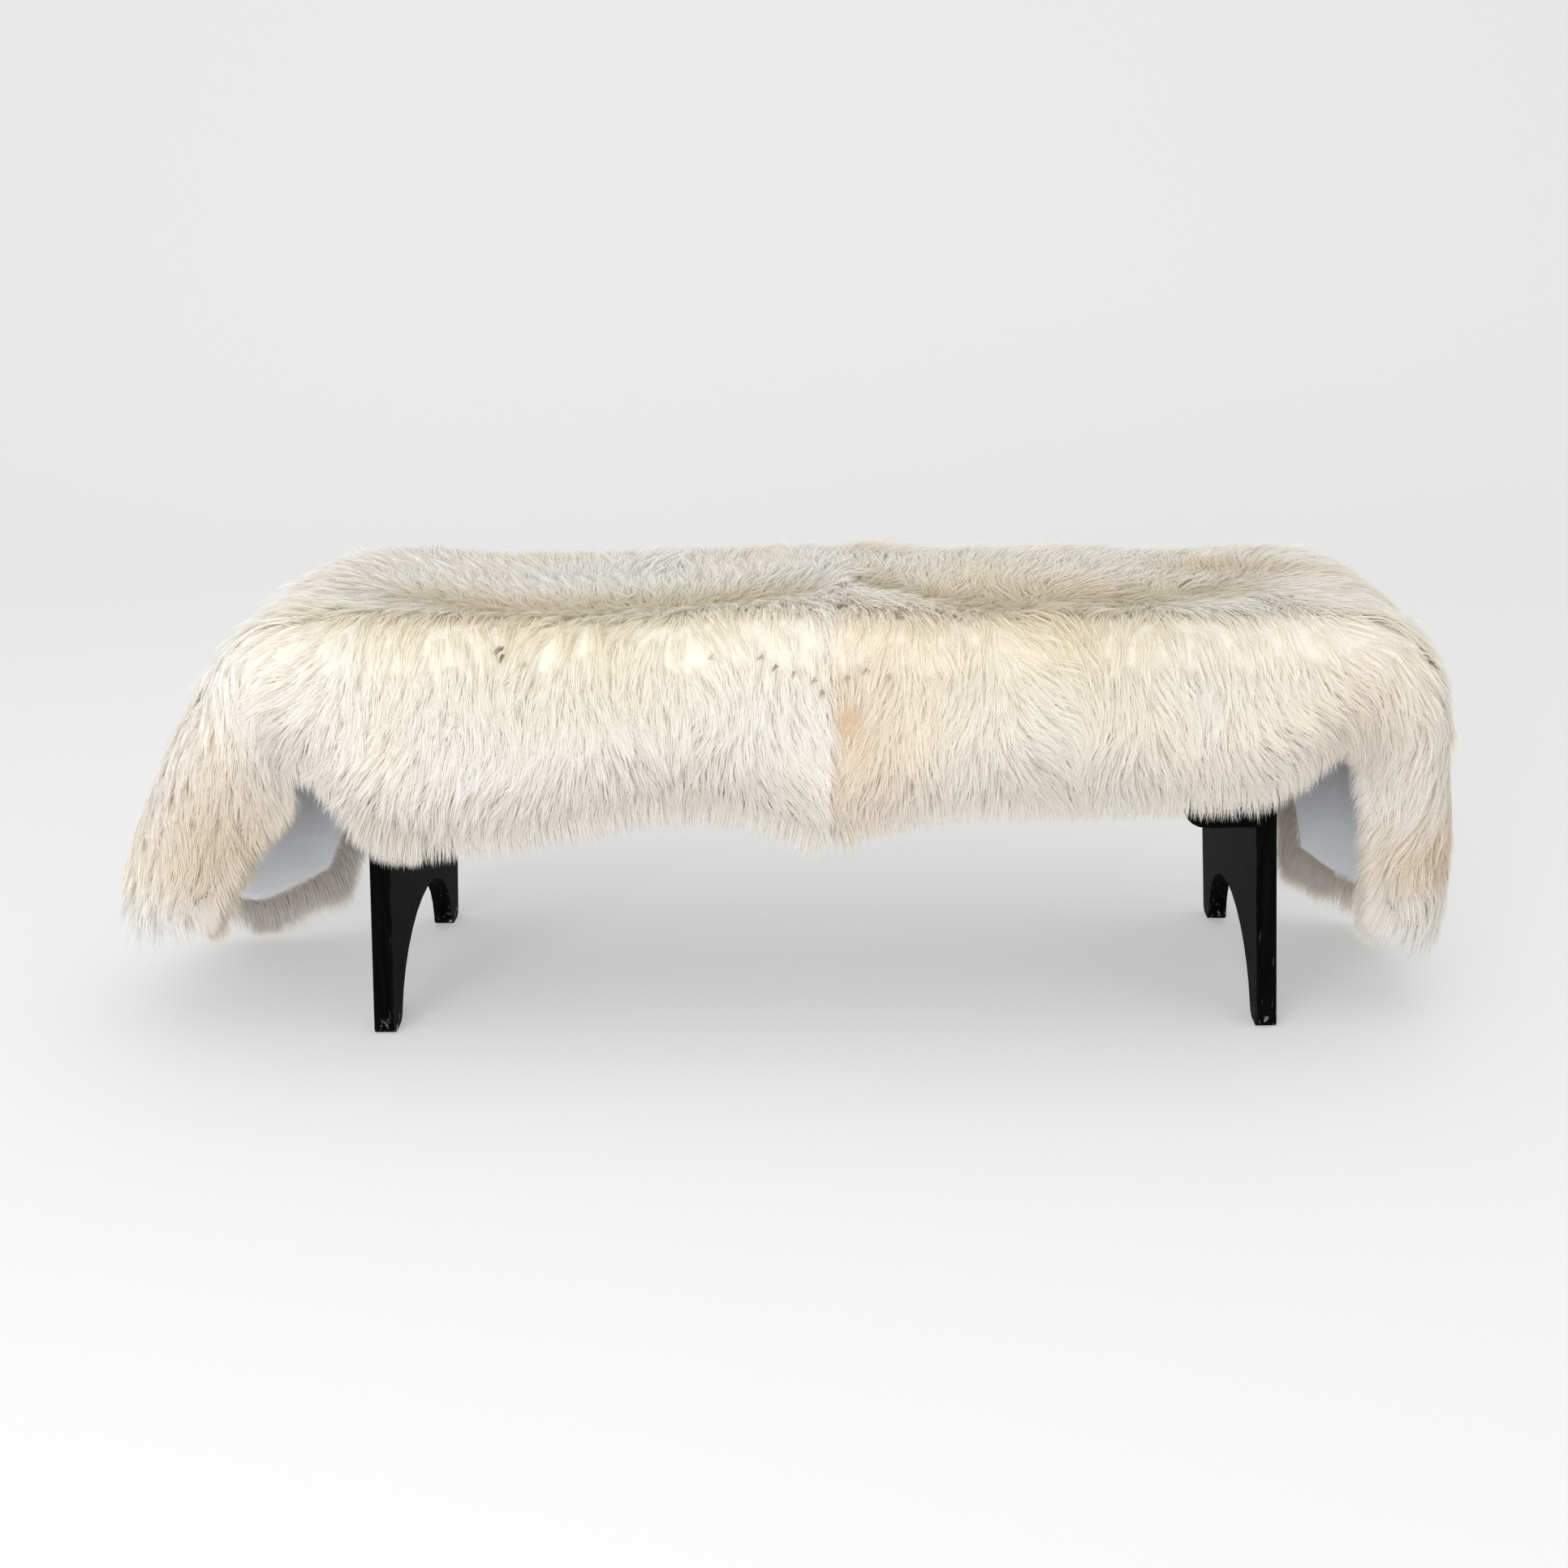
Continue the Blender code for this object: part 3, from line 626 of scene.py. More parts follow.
def clear_bundle(bundle):
    for piece in list(bundle.objects):
        bpy.data.objects.remove(piece, do_unlink=True)
    bpy.data.collections.remove(bundle)


def lay_pieces(piece_name, spots, bundle, finish):
    """Turns (point, out, lay, size, pick, tone) rows into one finished mesh."""
    mesh = bpy.data.meshes.new(piece_name + "_places")
    mesh.from_pydata([spot[0] for spot in spots], [], [])
    for column, label, kind, key in (
            (1, "out", "FLOAT_VECTOR", "vector"), (2, "lay", "FLOAT_VECTOR", "vector"),
            (3, "size", "FLOAT_VECTOR", "vector"), (5, "tone", "FLOAT_COLOR", "color")):
        layer = mesh.attributes.new(label, kind, "POINT")
        layer.data.foreach_set(key, [value for spot in spots for value in spot[column]])
    mesh.attributes.new("pick", "INT", "POINT").data.foreach_set("value", [spot[4] for spot in spots])
    holder = put_in_scene(piece_name + "_places", mesh)
    modifier = holder.modifiers.new("pieces", "NODES")
    modifier.node_group = LAY_PIECES
    modifier[PIECES_INPUT] = bundle
    modifier[FINISH_INPUT] = finish
    depsgraph = bpy.context.evaluated_depsgraph_get()
    made = bpy.data.meshes.new_from_object(
        holder.evaluated_get(depsgraph), preserve_all_data_layers=True, depsgraph=depsgraph)
    holder.modifiers.remove(modifier)
    bpy.data.objects.remove(holder, do_unlink=True)
    made.name = piece_name
    piece = put_in_scene(piece_name, made)
    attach(piece, "root")
    return piece


def thread_finish():
    finish, shader = new_finish("thread", colour(214, 206, 190), 0.60)
    ply = pattern(finish, 700.0, 2.0, 0.35, 0.65)
    base = mix_colours(finish, "MIX", ply, colour(196, 186, 166), colour(222, 215, 200))
    finish.node_tree.links.new(base, shader.inputs["Base Color"])
    return finish


LAY_PIECES, PIECES_INPUT, FINISH_INPUT = laying_tree()
stitch_bundle = new_bundle("stitch", [stitch_mesh()])
stitches = []
for side in (-1, 1):
    # Only the hanging parts show their seam: on the seat it lies face down on the boards.
    sewn = edge_length("left", 0.0, side) - SEAM_SHOWS_FROM - SEAM_STOPS_SHORT
    for k in range(round(sewn / STITCH_PITCH)):
        across = side * (SEAM_SHOWS_FROM + k * STITCH_PITCH)
        point = leather_point("left", 0.0, across)
        slant = (leather_point("left", 0.0, across + 0.001) - point).normalized()
        lay = (Vector((1.0, 0.0, 0.0)) + STITCH_SLANT * slant).normalized()
        size, tone = (1.0, 1.0, 1.0), (1.0, 1.0, 1.0, 1.0)
        stitches.append((point, -wool_way("left", 0.0, across), lay, size, 0, tone))
seam_thread = lay_pieces("seam_thread", stitches, stitch_bundle, thread_finish())
clear_bundle(stitch_bundle)


# The underwool. The dense crimped wool near the skin, too fine to part by eye, stands on
# the suede like a thick felt. It is undyed: its tones are the fleece's own, but for painted
# shade in the parting, on the shoulders, towards the hem and in the gaps between the locks.

# A row for each patch of tone: its name, its skin, its middle (x from the bench's middle,
# y, z), its half sizes, its colour and how strong it is.
PATCHES = (
    ("peach by the seam", "right", (0.050, -0.200, 0.340), (0.055, 0.06, 0.13), (249, 234, 214), 0.62),
    ("orange spot", "right", (0.026, -0.212, 0.412), (0.017, 0.04, 0.020), (236, 206, 168), 0.75),
    ("tan tip at the back", "right", (0.040, 0.150, 0.500), (0.050, 0.05, 0.05), (239, 227, 209), 0.60),
    ("white patch", "left", (-0.040, -0.040, 0.500), (0.045, 0.06, 0.05), (249, 249, 249), 0.70),
    ("white curls", "left", (-0.270, 0.010, 0.500), (0.130, 0.035, 0.05), (247, 247, 246), 0.60),
    ("cool hanging wool", "left", (-0.200, -0.215, 0.330), (0.170, 0.06, 0.07), (246, 245, 245), 0.60),
    ("cool hanging wool", "right", (0.300, -0.215, 0.330), (0.220, 0.06, 0.07), (247, 246, 243), 0.45),
    ("warm upper drape", "left", (-0.250, -0.205, 0.430), (0.240, 0.07, 0.06), (249, 247, 235), 0.55),
    ("warm upper drape", "right", (0.220, -0.205, 0.430), (0.200, 0.07, 0.06), (250, 247, 235), 0.50),
    # Painted shade on the shoulders, where the top turns down to the front.
    ("shaded shoulder", "left", (-0.280, -0.165, 0.485), (0.230, 0.045, 0.035), (240, 234, 212), 0.60),
    ("shaded shoulder", "right", (0.280, -0.165, 0.485), (0.230, 0.045, 0.035), (240, 232, 210), 0.60),
    # Painted shade in the hollow of the dip on the top.
    ("khaki hollow", "right", (0.240, -0.060, 0.500), (0.110, 0.035, 0.05), (240, 229, 204), 0.45),
    ("tan streak", "right", (0.460, 0.030, 0.500), (0.090, 0.030, 0.05), (230, 212, 180), 0.55),
    ("band on the flap", "right", (0.700, -0.160, 0.215), (0.090, 0.12, 0.035), (240, 222, 198), 0.65),
    ("warm fold of the flap", "right", (0.560, -0.190, 0.400), (0.050, 0.07, 0.060), (246, 235, 219), 0.55),
    ("white flap end", "right", (0.680, -0.100, 0.130), (0.120, 0.16, 0.055), (251, 252, 253), 0.85),
    ("white bend", "right", (0.420, -0.120, 0.490), (0.110, 0.10, 0.06), (248, 248, 246), 0.50),
    ("white flap end", "left", (-0.730, -0.100, 0.120), (0.130, 0.20, 0.055), (238, 240, 243), 0.90),
    # Partly painted shade: the front of the left flap is its own tan, darkened for the shade there.
    ("tan front of the flap", "left", (-0.640, -0.150, 0.250), (0.075, 0.08, 0.085), (228, 212, 188), 0.80),
)
WOOL_TONES = {"left": (254, 253, 251), "right": (254, 252, 247)}
# Dust and painted shade: near the rim the wool is painted greyer, partly dust at its tips and partly
# painted shade low on the drape.
HEM_TONE = (236, 232, 226)
HEM_REACH = 0.080
HEM_DUST_AND_SHADE = 0.70
LESS_DUST_AND_SHADE_ON_FLAP = 0.45
# Painted shade: the hollow of the parting is painted a darker khaki.
PARTING_SHADE_TONE = (226, 218, 194)
PARTING_SHADE_STRENGTH = 0.65
CLOUD_PITCH = 0.09
CLOUD_STRENGTH = 0.7
WARM_CLOUD = (253, 248, 233)
COOL_CLOUD = (253, 254, 255)

# The parting along the top, where the wool falls to the front and to the back of it:
# how far along and how far across from the middle line.
PARTING = {
    "left": ((0.0, -0.055), (0.056, -0.070), (0.194, -0.095), (0.262, -0.105), (0.346, -0.105),
             (0.482, -0.049), (0.580, -0.020), (1.2, -0.010)),
    "right": ((0.0, 0.030), (0.060, -0.020), (0.138, -0.090), (0.207, -0.105), (0.269, -0.100),
              (0.375, -0.070), (0.502, -0.015), (0.581, -0.007), (1.2, 0.0)),
}
PARTING_HALF_WIDTH = 0.036
PARTING_DEPTH = 0.14


def linear(spots, place):
    """The value at a place between rows of (place, value)."""
    for (start, low), (end, high) in zip(spots, spots[1:]):
        if place <= end:
            return low + (high - low) * max(place - start, 0.0) / (end - start)
    return spots[-1][1]


def parting_share(name, along, across):
    """1 on the parting, 0 well off it, and fading out where the skin leaves the bench."""
    off = (across - linear(PARTING[name], along)) / PARTING_HALF_WIDTH
    ends = smooth_step(along / 0.05) * smooth_step((flat_run(PELTS[name]) - 0.02 - along) / 0.12)
    return math.exp(-off * off) * ends


def inside_rim(name, along, across):
    """How far a place lies inside the leather's edge."""
    return min(edge_length(name, along, across) - abs(across), full_length(PELTS[name]) - along)


def loft_at(name, along, across):
    """How far the wool stands off the suede, with its lumps and its fall towards the rim."""
    pelt = PELTS[name]
    loft = section_at(name, along)["loft"]
    spot = Vector((along / LUMP_PITCH, across / LUMP_PITCH, pelt["seed"]))
    lump = LUMP_HEIGHT * noise.noise(spot) * smooth_step(along / LUMP_FADE)
    rim = RIM_LOFT + (1.0 - RIM_LOFT) * smooth_step(inside_rim(name, along, across) / RIM_FALL)
    return (loft + lump) * rim * (1.0 - PARTING_DEPTH * parting_share(name, along, across))


def blend_tone(tone, other, share):
    return [a + (b - a) * share for a, b in zip(tone, other)]


def wool_tone(name, along, across, point):
    """The fleece's colour at a place: its base, broad clouds, named patches, some of them painted shade,
    the parting's painted shade, and the hem's dust and painted shade.
    """
    cloud = noise.noise(point / CLOUD_PITCH + Vector((PELTS[name]["seed"], 0.0, 0.0)))
    clouded = WARM_CLOUD if cloud > 0 else COOL_CLOUD
    tone = blend_tone(WOOL_TONES[name], clouded, CLOUD_STRENGTH * abs(cloud))
    place = point - Vector((BENCH_X, 0.0, 0.0))
    for _, skin, middle, half, patch, strength in PATCHES:
        if skin != name:
            continue
        reach = sum(((a - b) / c) ** 2 for a, b, c in zip(place, middle, half))
        tone = blend_tone(tone, patch, strength * math.exp(-reach))
    # Painted shade in the parting's hollow.
    tone = blend_tone(tone, PARTING_SHADE_TONE, PARTING_SHADE_STRENGTH * parting_share(name, along, across))
    # Dust and painted shade near the rim, less of it on the flap.
    on_flap = smooth_step((along - flat_run(PELTS[name]) - 0.12) / 0.10)
    dust_and_shade = HEM_DUST_AND_SHADE - LESS_DUST_AND_SHADE_ON_FLAP * on_flap
    dust_and_shade *= 1.0 - smooth_step(inside_rim(name, along, across) / HEM_REACH)
    return colour(*blend_tone(tone, HEM_TONE, dust_and_shade))


def wool_attribute(finish, label, output):
    return add_node(finish, "ShaderNodeAttribute", {"attribute_name": label}).outputs[output]


def underwool_finish():
    """Seen in the gaps between locks, so painted a shade deeper than they are for the shade there, with a
    crimped grain.
    """
    finish, shader = new_finish("underwool", colour(222, 214, 198), 1.0)
    crimp = pattern(finish, 260.0, 4.0, 0.25, 0.75, (1.0, 1.0, 0.35))
    # Painted shade: the fleece's tone is darkened here for the shade in the gaps between the locks.
    base = mix_colours(finish, "MULTIPLY", 1.0, wool_attribute(finish, "tone", "Color"),
                       colour(226, 222, 215))
    base = mix_colours(finish, "MULTIPLY", 0.10, base, crimp)
    finish.node_tree.links.new(base, shader.inputs["Base Color"])
    give_relief(finish, shader, crimp, 0.6, 0.002)
    return finish


underwool_material = underwool_finish()
UNDERWOOL_STEP = 0.016
UNDERWOOL_ACROSS = (8, 4, 9)
UNDERWOOL_SHARE = 0.62
SUEDE_COVER = 0.0003


def felt_foot(*spot):
    return wool_side(*spot) + SUEDE_COVER


def felt_crest(name, along, across):
    tangle = 1.0 + 0.10 * noise.noise(Vector((along / 0.018, across / 0.018, PELTS[name]["seed"])))
    return UNDERWOOL_SHARE * tangle * loft_at(name, along, across)


# The felt's rounded rim: how far past the leather's edge, and how high.
FELT_RINGS = (
    (0.006, lambda *spot: felt_foot(*spot) + 0.15 * felt_crest(*spot)),
    (0.009, lambda *spot: 0.60 * felt_crest(*spot)),
    (0.004, felt_crest),
)
for name in PELTS:
    grid = skin_grid(name, UNDERWOOL_STEP, UNDERWOOL_ACROSS)
    mesh = closed_skin(name, grid, felt_foot, felt_crest, FELT_RINGS)
    mesh.materials.append(underwool_material)
    places = [spot for line in grid for spot in line]
    places += places + [grid[i][j] for _ in FELT_RINGS[:-1] for i, j in rim_loop(grid)]
    layer = mesh.attributes.new("tone", "FLOAT_COLOR", "POINT")
    for spot, vertex, dyed in zip(places, mesh.vertices, layer.data):
        dyed.color = wool_tone(name, *spot, vertex.co)
    underwool = put_in_scene("underwool_" + name, mesh)
    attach(underwool, "root")
    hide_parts("pelt_" + name)


# The locks. Long wool parts into pointed locks of some tens of hairs, each lock rising
# from the underwool and bending over to lie on the next. They are combed.

LOCK_KINDS = 6
LOCK_HAIRS = 12
LOCK_LONG = 0.046
LOCK_ROOT = 0.0068
LOCK_RISE = 0.17
HAIR_WIDE = 0.0012
HAIR_STATIONS = (0.0, 0.34, 0.70, 1.0)
# How far a lock's hairs gather at its tip, and how unlike in length they are.
LOCK_FORMS = {"coat": (0.45, 0.30), "hem": (0.12, 0.10)}


def lock_mesh(seed, wave, form_name):
    """One lock lying along +X and rising in +Z: flat hairs that gather towards the tip."""
    draw = random.Random(seed)
    gather, ragged = LOCK_FORMS[form_name]
    form = bmesh.new()
    reach_layer = form.verts.layers.float.new("reach")
    strand_layer = form.verts.layers.float.new("strand")
    tip_aside, phase = draw.uniform(-0.004, 0.004), draw.uniform(0.0, 6.28)
    for _ in range(LOCK_HAIRS):
        angle, radius = draw.uniform(0.0, 6.28), LOCK_ROOT * math.sqrt(draw.random())
        root = Vector((radius * math.cos(angle), radius * math.sin(angle), -0.002))
        long, rise = LOCK_LONG * (1.05 - ragged * draw.random()), LOCK_RISE * draw.uniform(0.75, 1.2)
        spread, roll, shade = draw.gauss(0.0, 0.0024), draw.uniform(-0.6, 0.6), draw.random()
        left, right = [], []
        for t in HAIR_STATIONS:
            bend = wave * math.sin(phase + 4.2 * t) * t
            middle = root * (1.0 - gather * t) + Vector((
                long * t ** 1.25,
                tip_aside * t + spread * (0.3 + t) + bend,
                long * rise * (2.1 * t - 1.45 * t * t) + 0.4 * spread * t))
            half = 0.5 * HAIR_WIDE * (0.8 + 0.5 * t - 1.3 * t * t)
            aside = Vector((0.0, math.cos(roll), math.sin(roll))) * max(half, 0.0)
            points = (middle,) if t >= 1.0 else (middle - aside, middle + aside)
            row = []
            for point in points:
                vertex = form.verts.new(point)
                vertex[reach_layer], vertex[strand_layer] = t, shade
                row.append(vertex)
            left.append(row[0])
            right.append(row[-1])
        for k in range(len(HAIR_STATIONS) - 2):
            form.faces.new((left[k], right[k], right[k + 1], left[k + 1]))
        form.faces.new((left[-2], right[-2], left[-1]))
    for face in form.faces:
        face.smooth = True
    return finished_mesh(form, "lock")


def lock_bundle(name, form_name):
    seeds = [k + 10 * len(name) for k in range(LOCK_KINDS)]
    return new_bundle(f"lock_{name}_{form_name}",
                      [lock_mesh(seed, COMBING[name]["wave"], form_name) for seed in seeds])


# Light soaks through a hair and on to the next. Painted shade darkens its root up to this share of its
# length.
SOFT_SHADE = 0.52
ROOT_SHADE_TO = 0.6


def wool_finish(name):
    """Each hair is painted a shade deeper at its root, painted shade where the hairs crowd, paler at its
    tip, and a little unlike its neighbours.
    """
    finish, shader = new_finish("wool_" + name, colour(*WOOL_TONES[name]), 0.75)
    links = finish.node_tree.links
    fade = cut_off(finish, wool_attribute(finish, "reach", "Fac"), 0.0, ROOT_SHADE_TO)
    # Painted shade: the root end of each hair is painted darker.
    root_shade = mix_colours(finish, "MIX", fade, colour(242, 240, 236), colour(255, 255, 255))
    base = mix_colours(finish, "MULTIPLY", 1.0, wool_attribute(finish, "tone", "Color"), root_shade)
    strand = mix_colours(finish, "MIX", wool_attribute(finish, "strand", "Fac"),
                         colour(243, 241, 238), colour(255, 255, 255))
    base = mix_colours(finish, "MULTIPLY", 1.0, base, strand)
    links.new(base, shader.inputs["Base Color"])
    glow = add_node(finish, "ShaderNodeBsdfTranslucent")
    blend = add_node(finish, "ShaderNodeMixShader", inputs={0: SOFT_SHADE})
    links.new(base, glow.inputs["Color"])
    links.new(shader.outputs["BSDF"], blend.inputs[1])
    links.new(glow.outputs["BSDF"], blend.inputs[2])
    links.new(blend.outputs["Shader"], finish.node_tree.nodes["Material Output"].inputs["Surface"])
    shader.inputs["Sheen Weight"].default_value = 0.25
    shader.inputs["Specular IOR Level"].default_value = 0.25
    return finish


LOCK_PITCH = 0.0098
ROOT_SHARE = 0.75
# How the wool is combed: towards the seam or the end at the seam and at the bench's end,
# how much it swirls, how long and how wavy the locks are.
COMBING = {
    "left": {"at_seam": -0.25, "at_end": 0.55, "swirl": 0.55, "long": 0.92, "wave": 0.0015},
    "right": {"at_seam": 0.05, "at_end": 0.65, "swirl": 0.80, "long": 1.12, "wave": 0.0042},
}
SWIRL_PITCH = 0.085
TOP_HALF_WIDTH = 0.110
TOP_ASIDE = 0.55
FALLS_WITHIN = 0.03
STRAY_SHARE = 0.04
LOOSENESS = 0.18
PARTING_LOOSENESS = 0.30
LOOK_AHEAD = 0.026
LOCK_SAG = 0.30
GRAVITY = Vector((0.0, 0.0, -1.0))
# How unlike the locks are in length, width (the least, and how much more) and rise, and
# how much more a stray lock rises.
LONG_RANGE = (0.75, 1.15)
WIDE_RANGE = (0.9, 0.3)
RISE_RANGE = (0.70, 1.25)
STRAY_RISE = 1.6
# Wool is shorter in the parting and near the end, and stands up more on top than on a side.
SHORTER_IN_PARTING = 0.35
LOWER_IN_PARTING = 0.4
SHORTEST_AT_END = 0.70
RISE_ON_SIDE = 0.62
RISE_ON_TOP = 0.75


def heading_at(name, along, across, draw):
    """Which way a lock lies on the skin: off the parting to each side, down the flap, swirled."""
    comb = COMBING[name]
    run = flat_run(PELTS[name])
    side = min(max((across - linear(PARTING[name], along)) / FALLS_WITHIN, -1.0), 1.0)
    past = smooth_step((along - run + 0.08) / 0.20)
    fan = comb["at_seam"] + (comb["at_end"] - comb["at_seam"]) * min(along / run, 1.0)
    hanging = smooth_step((abs(across) - TOP_HALF_WIDTH) / 0.06)
    aside = TOP_ASIDE + (1.0 - TOP_ASIDE) * hanging
    heading = math.atan2(side * aside * (1.0 - 0.55 * past), fan + 1.5 * past)
    spot = Vector((along / SWIRL_PITCH, across / SWIRL_PITCH, PELTS[name]["seed"] + 5.0))
    loose = LOOSENESS + PARTING_LOOSENESS * parting_share(name, along, across)
    return heading + comb["swirl"] * 2.0 * noise.noise(spot) + draw.gauss(0.0, loose)


def lay_at(name, along, across, heading):
    """The lock's lie in space, sagging a little under its own weight."""
    lengthwise, crosswise = skin_steps(name, along, across)
    way = math.cos(heading) * lengthwise.normalized() + math.sin(heading) * crosswise.normalized()
    return (way + LOCK_SAG * GRAVITY).normalized()


def wool_spots(name):
    """Jittered places for the locks all over a skin, as (along, across)."""
    draw = random.Random(int(PELTS[name]["seed"]))
    length = full_length(PELTS[name])
    rows = round(length / LOCK_PITCH)
    spots = []
    for i in range(rows):
        along = length * (i + 0.5) / rows
        front, back = -edge_length(name, along, -1), edge_length(name, along, 1)
        columns = round((back - front) / LOCK_PITCH)
        for j in range(columns):
            across = front + (back - front) * (j + draw.uniform(0.08, 0.92)) / columns
            place = along + LOCK_PITCH * draw.uniform(-0.45, 0.45)
            place -= drawn_in(name, along, across / max(-front, back))
            spots.append((max(place, 0.003), across, draw))
    return spots


def surface_lock(name, along, across, draw):
    """One lock on the fleece: its root in the underwool, and how it stands."""
    loft = loft_at(name, along, across)
    out = wool_way(name, along, across)
    point = leather_point(name, along, across) + ROOT_SHARE * loft * out
    parted = parting_share(name, along, across)
    long = COMBING[name]["long"] * draw.uniform(*LONG_RANGE) * (1.0 - SHORTER_IN_PARTING * parted)
    off_end = smooth_step((full_length(PELTS[name]) - along) / LOCK_LONG)
    long *= SHORTEST_AT_END + (1.0 - SHORTEST_AT_END) * off_end
    rise = draw.uniform(*RISE_RANGE) * (STRAY_RISE if draw.random() < STRAY_SHARE else 1.0)
    rise *= RISE_ON_SIDE + RISE_ON_TOP * max(out.z, 0.0)
    rise *= 1.0 - LOWER_IN_PARTING * parted
    tone = wool_tone(name, along, across, point)
    # A lock leans with the skin it will lie on, which rounds the wool over the bench's edges.
    heading = heading_at(name, along, across, draw)
    ahead = (max(along + LOOK_AHEAD * math.cos(heading), 0.003), across + LOOK_AHEAD * math.sin(heading))
    lean = (out + wool_way(name, *ahead)).normalized()
    size = (long, WIDE_RANGE[0] + WIDE_RANGE[1] * draw.random(), rise)
    return point, lean, lay_at(name, along, across, heading), size, draw.randrange(LOCK_KINDS), tone


# A row for each small dark tuft on the front drape: skin, along, across, its size against
# a lock, and its colour.
SPECKS = (
    ("left", 0.338, -0.171, 0.30, (92, 66, 48)),
    ("left", 0.337, -0.173, 0.26, (112, 84, 62)),
    ("left", 0.313, -0.176, 0.18, (206, 194, 174)),
    ("left", 0.119, -0.174, 0.16, (198, 188, 172)),
    ("left", 0.067, -0.174, 0.22, (178, 166, 150)),
    ("left", 0.053, -0.176, 0.22, (172, 160, 144)),
    ("left", 0.036, -0.178, 0.20, (186, 172, 154)),
    ("left", 0.013, -0.184, 0.20, (182, 168, 150)),
    ("left", 0.006, -0.198, 0.20, (190, 170, 146)),
    ("right", 0.021, -0.182, 0.22, (192, 174, 150)),
    ("right", 0.040, -0.178, 0.20, (184, 168, 148)),
    ("right", 0.063, -0.182, 0.18, (196, 180, 158)),
)


def speck_tufts(name):
    """The small dark tufts, laid crossways on top of the combed wool."""
    draw = random.Random(7)
    tufts = []
    for skin, along, across, size, tone in SPECKS:
        if skin != name:
            continue
        out = wool_way(name, along, across)
        point = leather_point(name, along, across) + loft_at(name, along, across) * out
        lay = Vector((draw.uniform(-1.0, 1.0), 0.0, -0.6)).normalized()
        tufts.append((point, out, lay, (size, 0.45, 0.5), draw.randrange(LOCK_KINDS), colour(*tone)))
    return tufts


# Stray tufts that stand off the right flap's bend: along, across, and how high they rise.
TUFTS = (
    (0.600, -0.120, 2.4),
    (0.625, -0.080, 2.6),
    (0.645, -0.125, 2.2),
    (0.660, -0.050, 2.6),
    (0.675, -0.100, 2.8),
    (0.690, -0.070, 2.4),
    (0.705, -0.115, 2.6),
    (0.720, -0.030, 2.2),
)


def stray_tufts():
    draw = random.Random(9)
    tufts = []
    for along, across, rise in TUFTS:
        for _ in range(4):
            spot = along + draw.uniform(-0.006, 0.006), across + draw.uniform(-0.006, 0.006)
            point, out, lay, (long, wide, _), pick, tone = surface_lock("right", *spot, draw)
            tufts.append((point, out, lay, (long, wide, rise), pick, tone))
    return tufts


FRONT_WOOL_TO = -0.085
BACK_WOOL_FROM = 0.115
bundles, wool_materials = {}, {}
for name in PELTS:
    bundles[name] = lock_bundle(name, "coat")
    wool_materials[name] = wool_finish(name)
    parts = {"front": [], "top": [], "back": []}
    for along, across, draw in wool_spots(name):
        lock = surface_lock(name, along, across, draw)
        where = "front" if across < FRONT_WOOL_TO else "back" if across > BACK_WOOL_FROM else "top"
        parts[where].append(lock)
    parts["front"] += speck_tufts(name)
    if name == "right":
        parts["front"] += stray_tufts()
    for where, locks in parts.items():
        piece = lay_pieces(f"wool_{name}_{where}", locks, bundles[name], wool_materials[name])


# The hem. Past the leather's edge the wool hangs free in pointed locks, paler outside
# and greyer inside, where its inner rings are painted shade.

HEM_PITCH = 0.0054
HEM_ACROSS = (12, 5, 26)
HEM_LONG = {"left": 0.86, "right": 0.78}
# A row for each ring of hem locks: past the leather's edge, share of the loft, length,
# how much longer it is round the flap's end, and how much painted shade darkens the ring.
HEM_RINGS = (
    (0.003, 0.10, 0.78, 1.30, 0.45),
    (0.007, 0.40, 1.10, 1.15, 0.16),
    (0.007, 0.72, 1.05, 0.86, 0.05),
)
# Round the flap's end more sets of rings stand between the first ones, and at its
# corners the wool is longer.
END_SETS = (0.0, 0.15)
CORNER_SETS = (0.0, 0.15, 0.08, 0.22)
LONGER_AT_CORNER = 0.35
# Painted shade: the inner rings of the hem are painted towards this grey.
INSIDE_SHADE_TONE = (214, 206, 202)
# How far the hem sags, and how much further where it hangs off a flap.
HEM_SAG = 0.50
FLAP_SAG = 1.30
# Down the front of each flap the hem is shorter, and its tips stop short of the floor.
HEM_SHORTER_AT_FRONT = 0.16
HEM_OFF_FLOOR = 0.004
# A hem lock looks the mean way of the rim this near it, in metres.
HEM_FAN = 0.050
HEM_SWING = 0.045


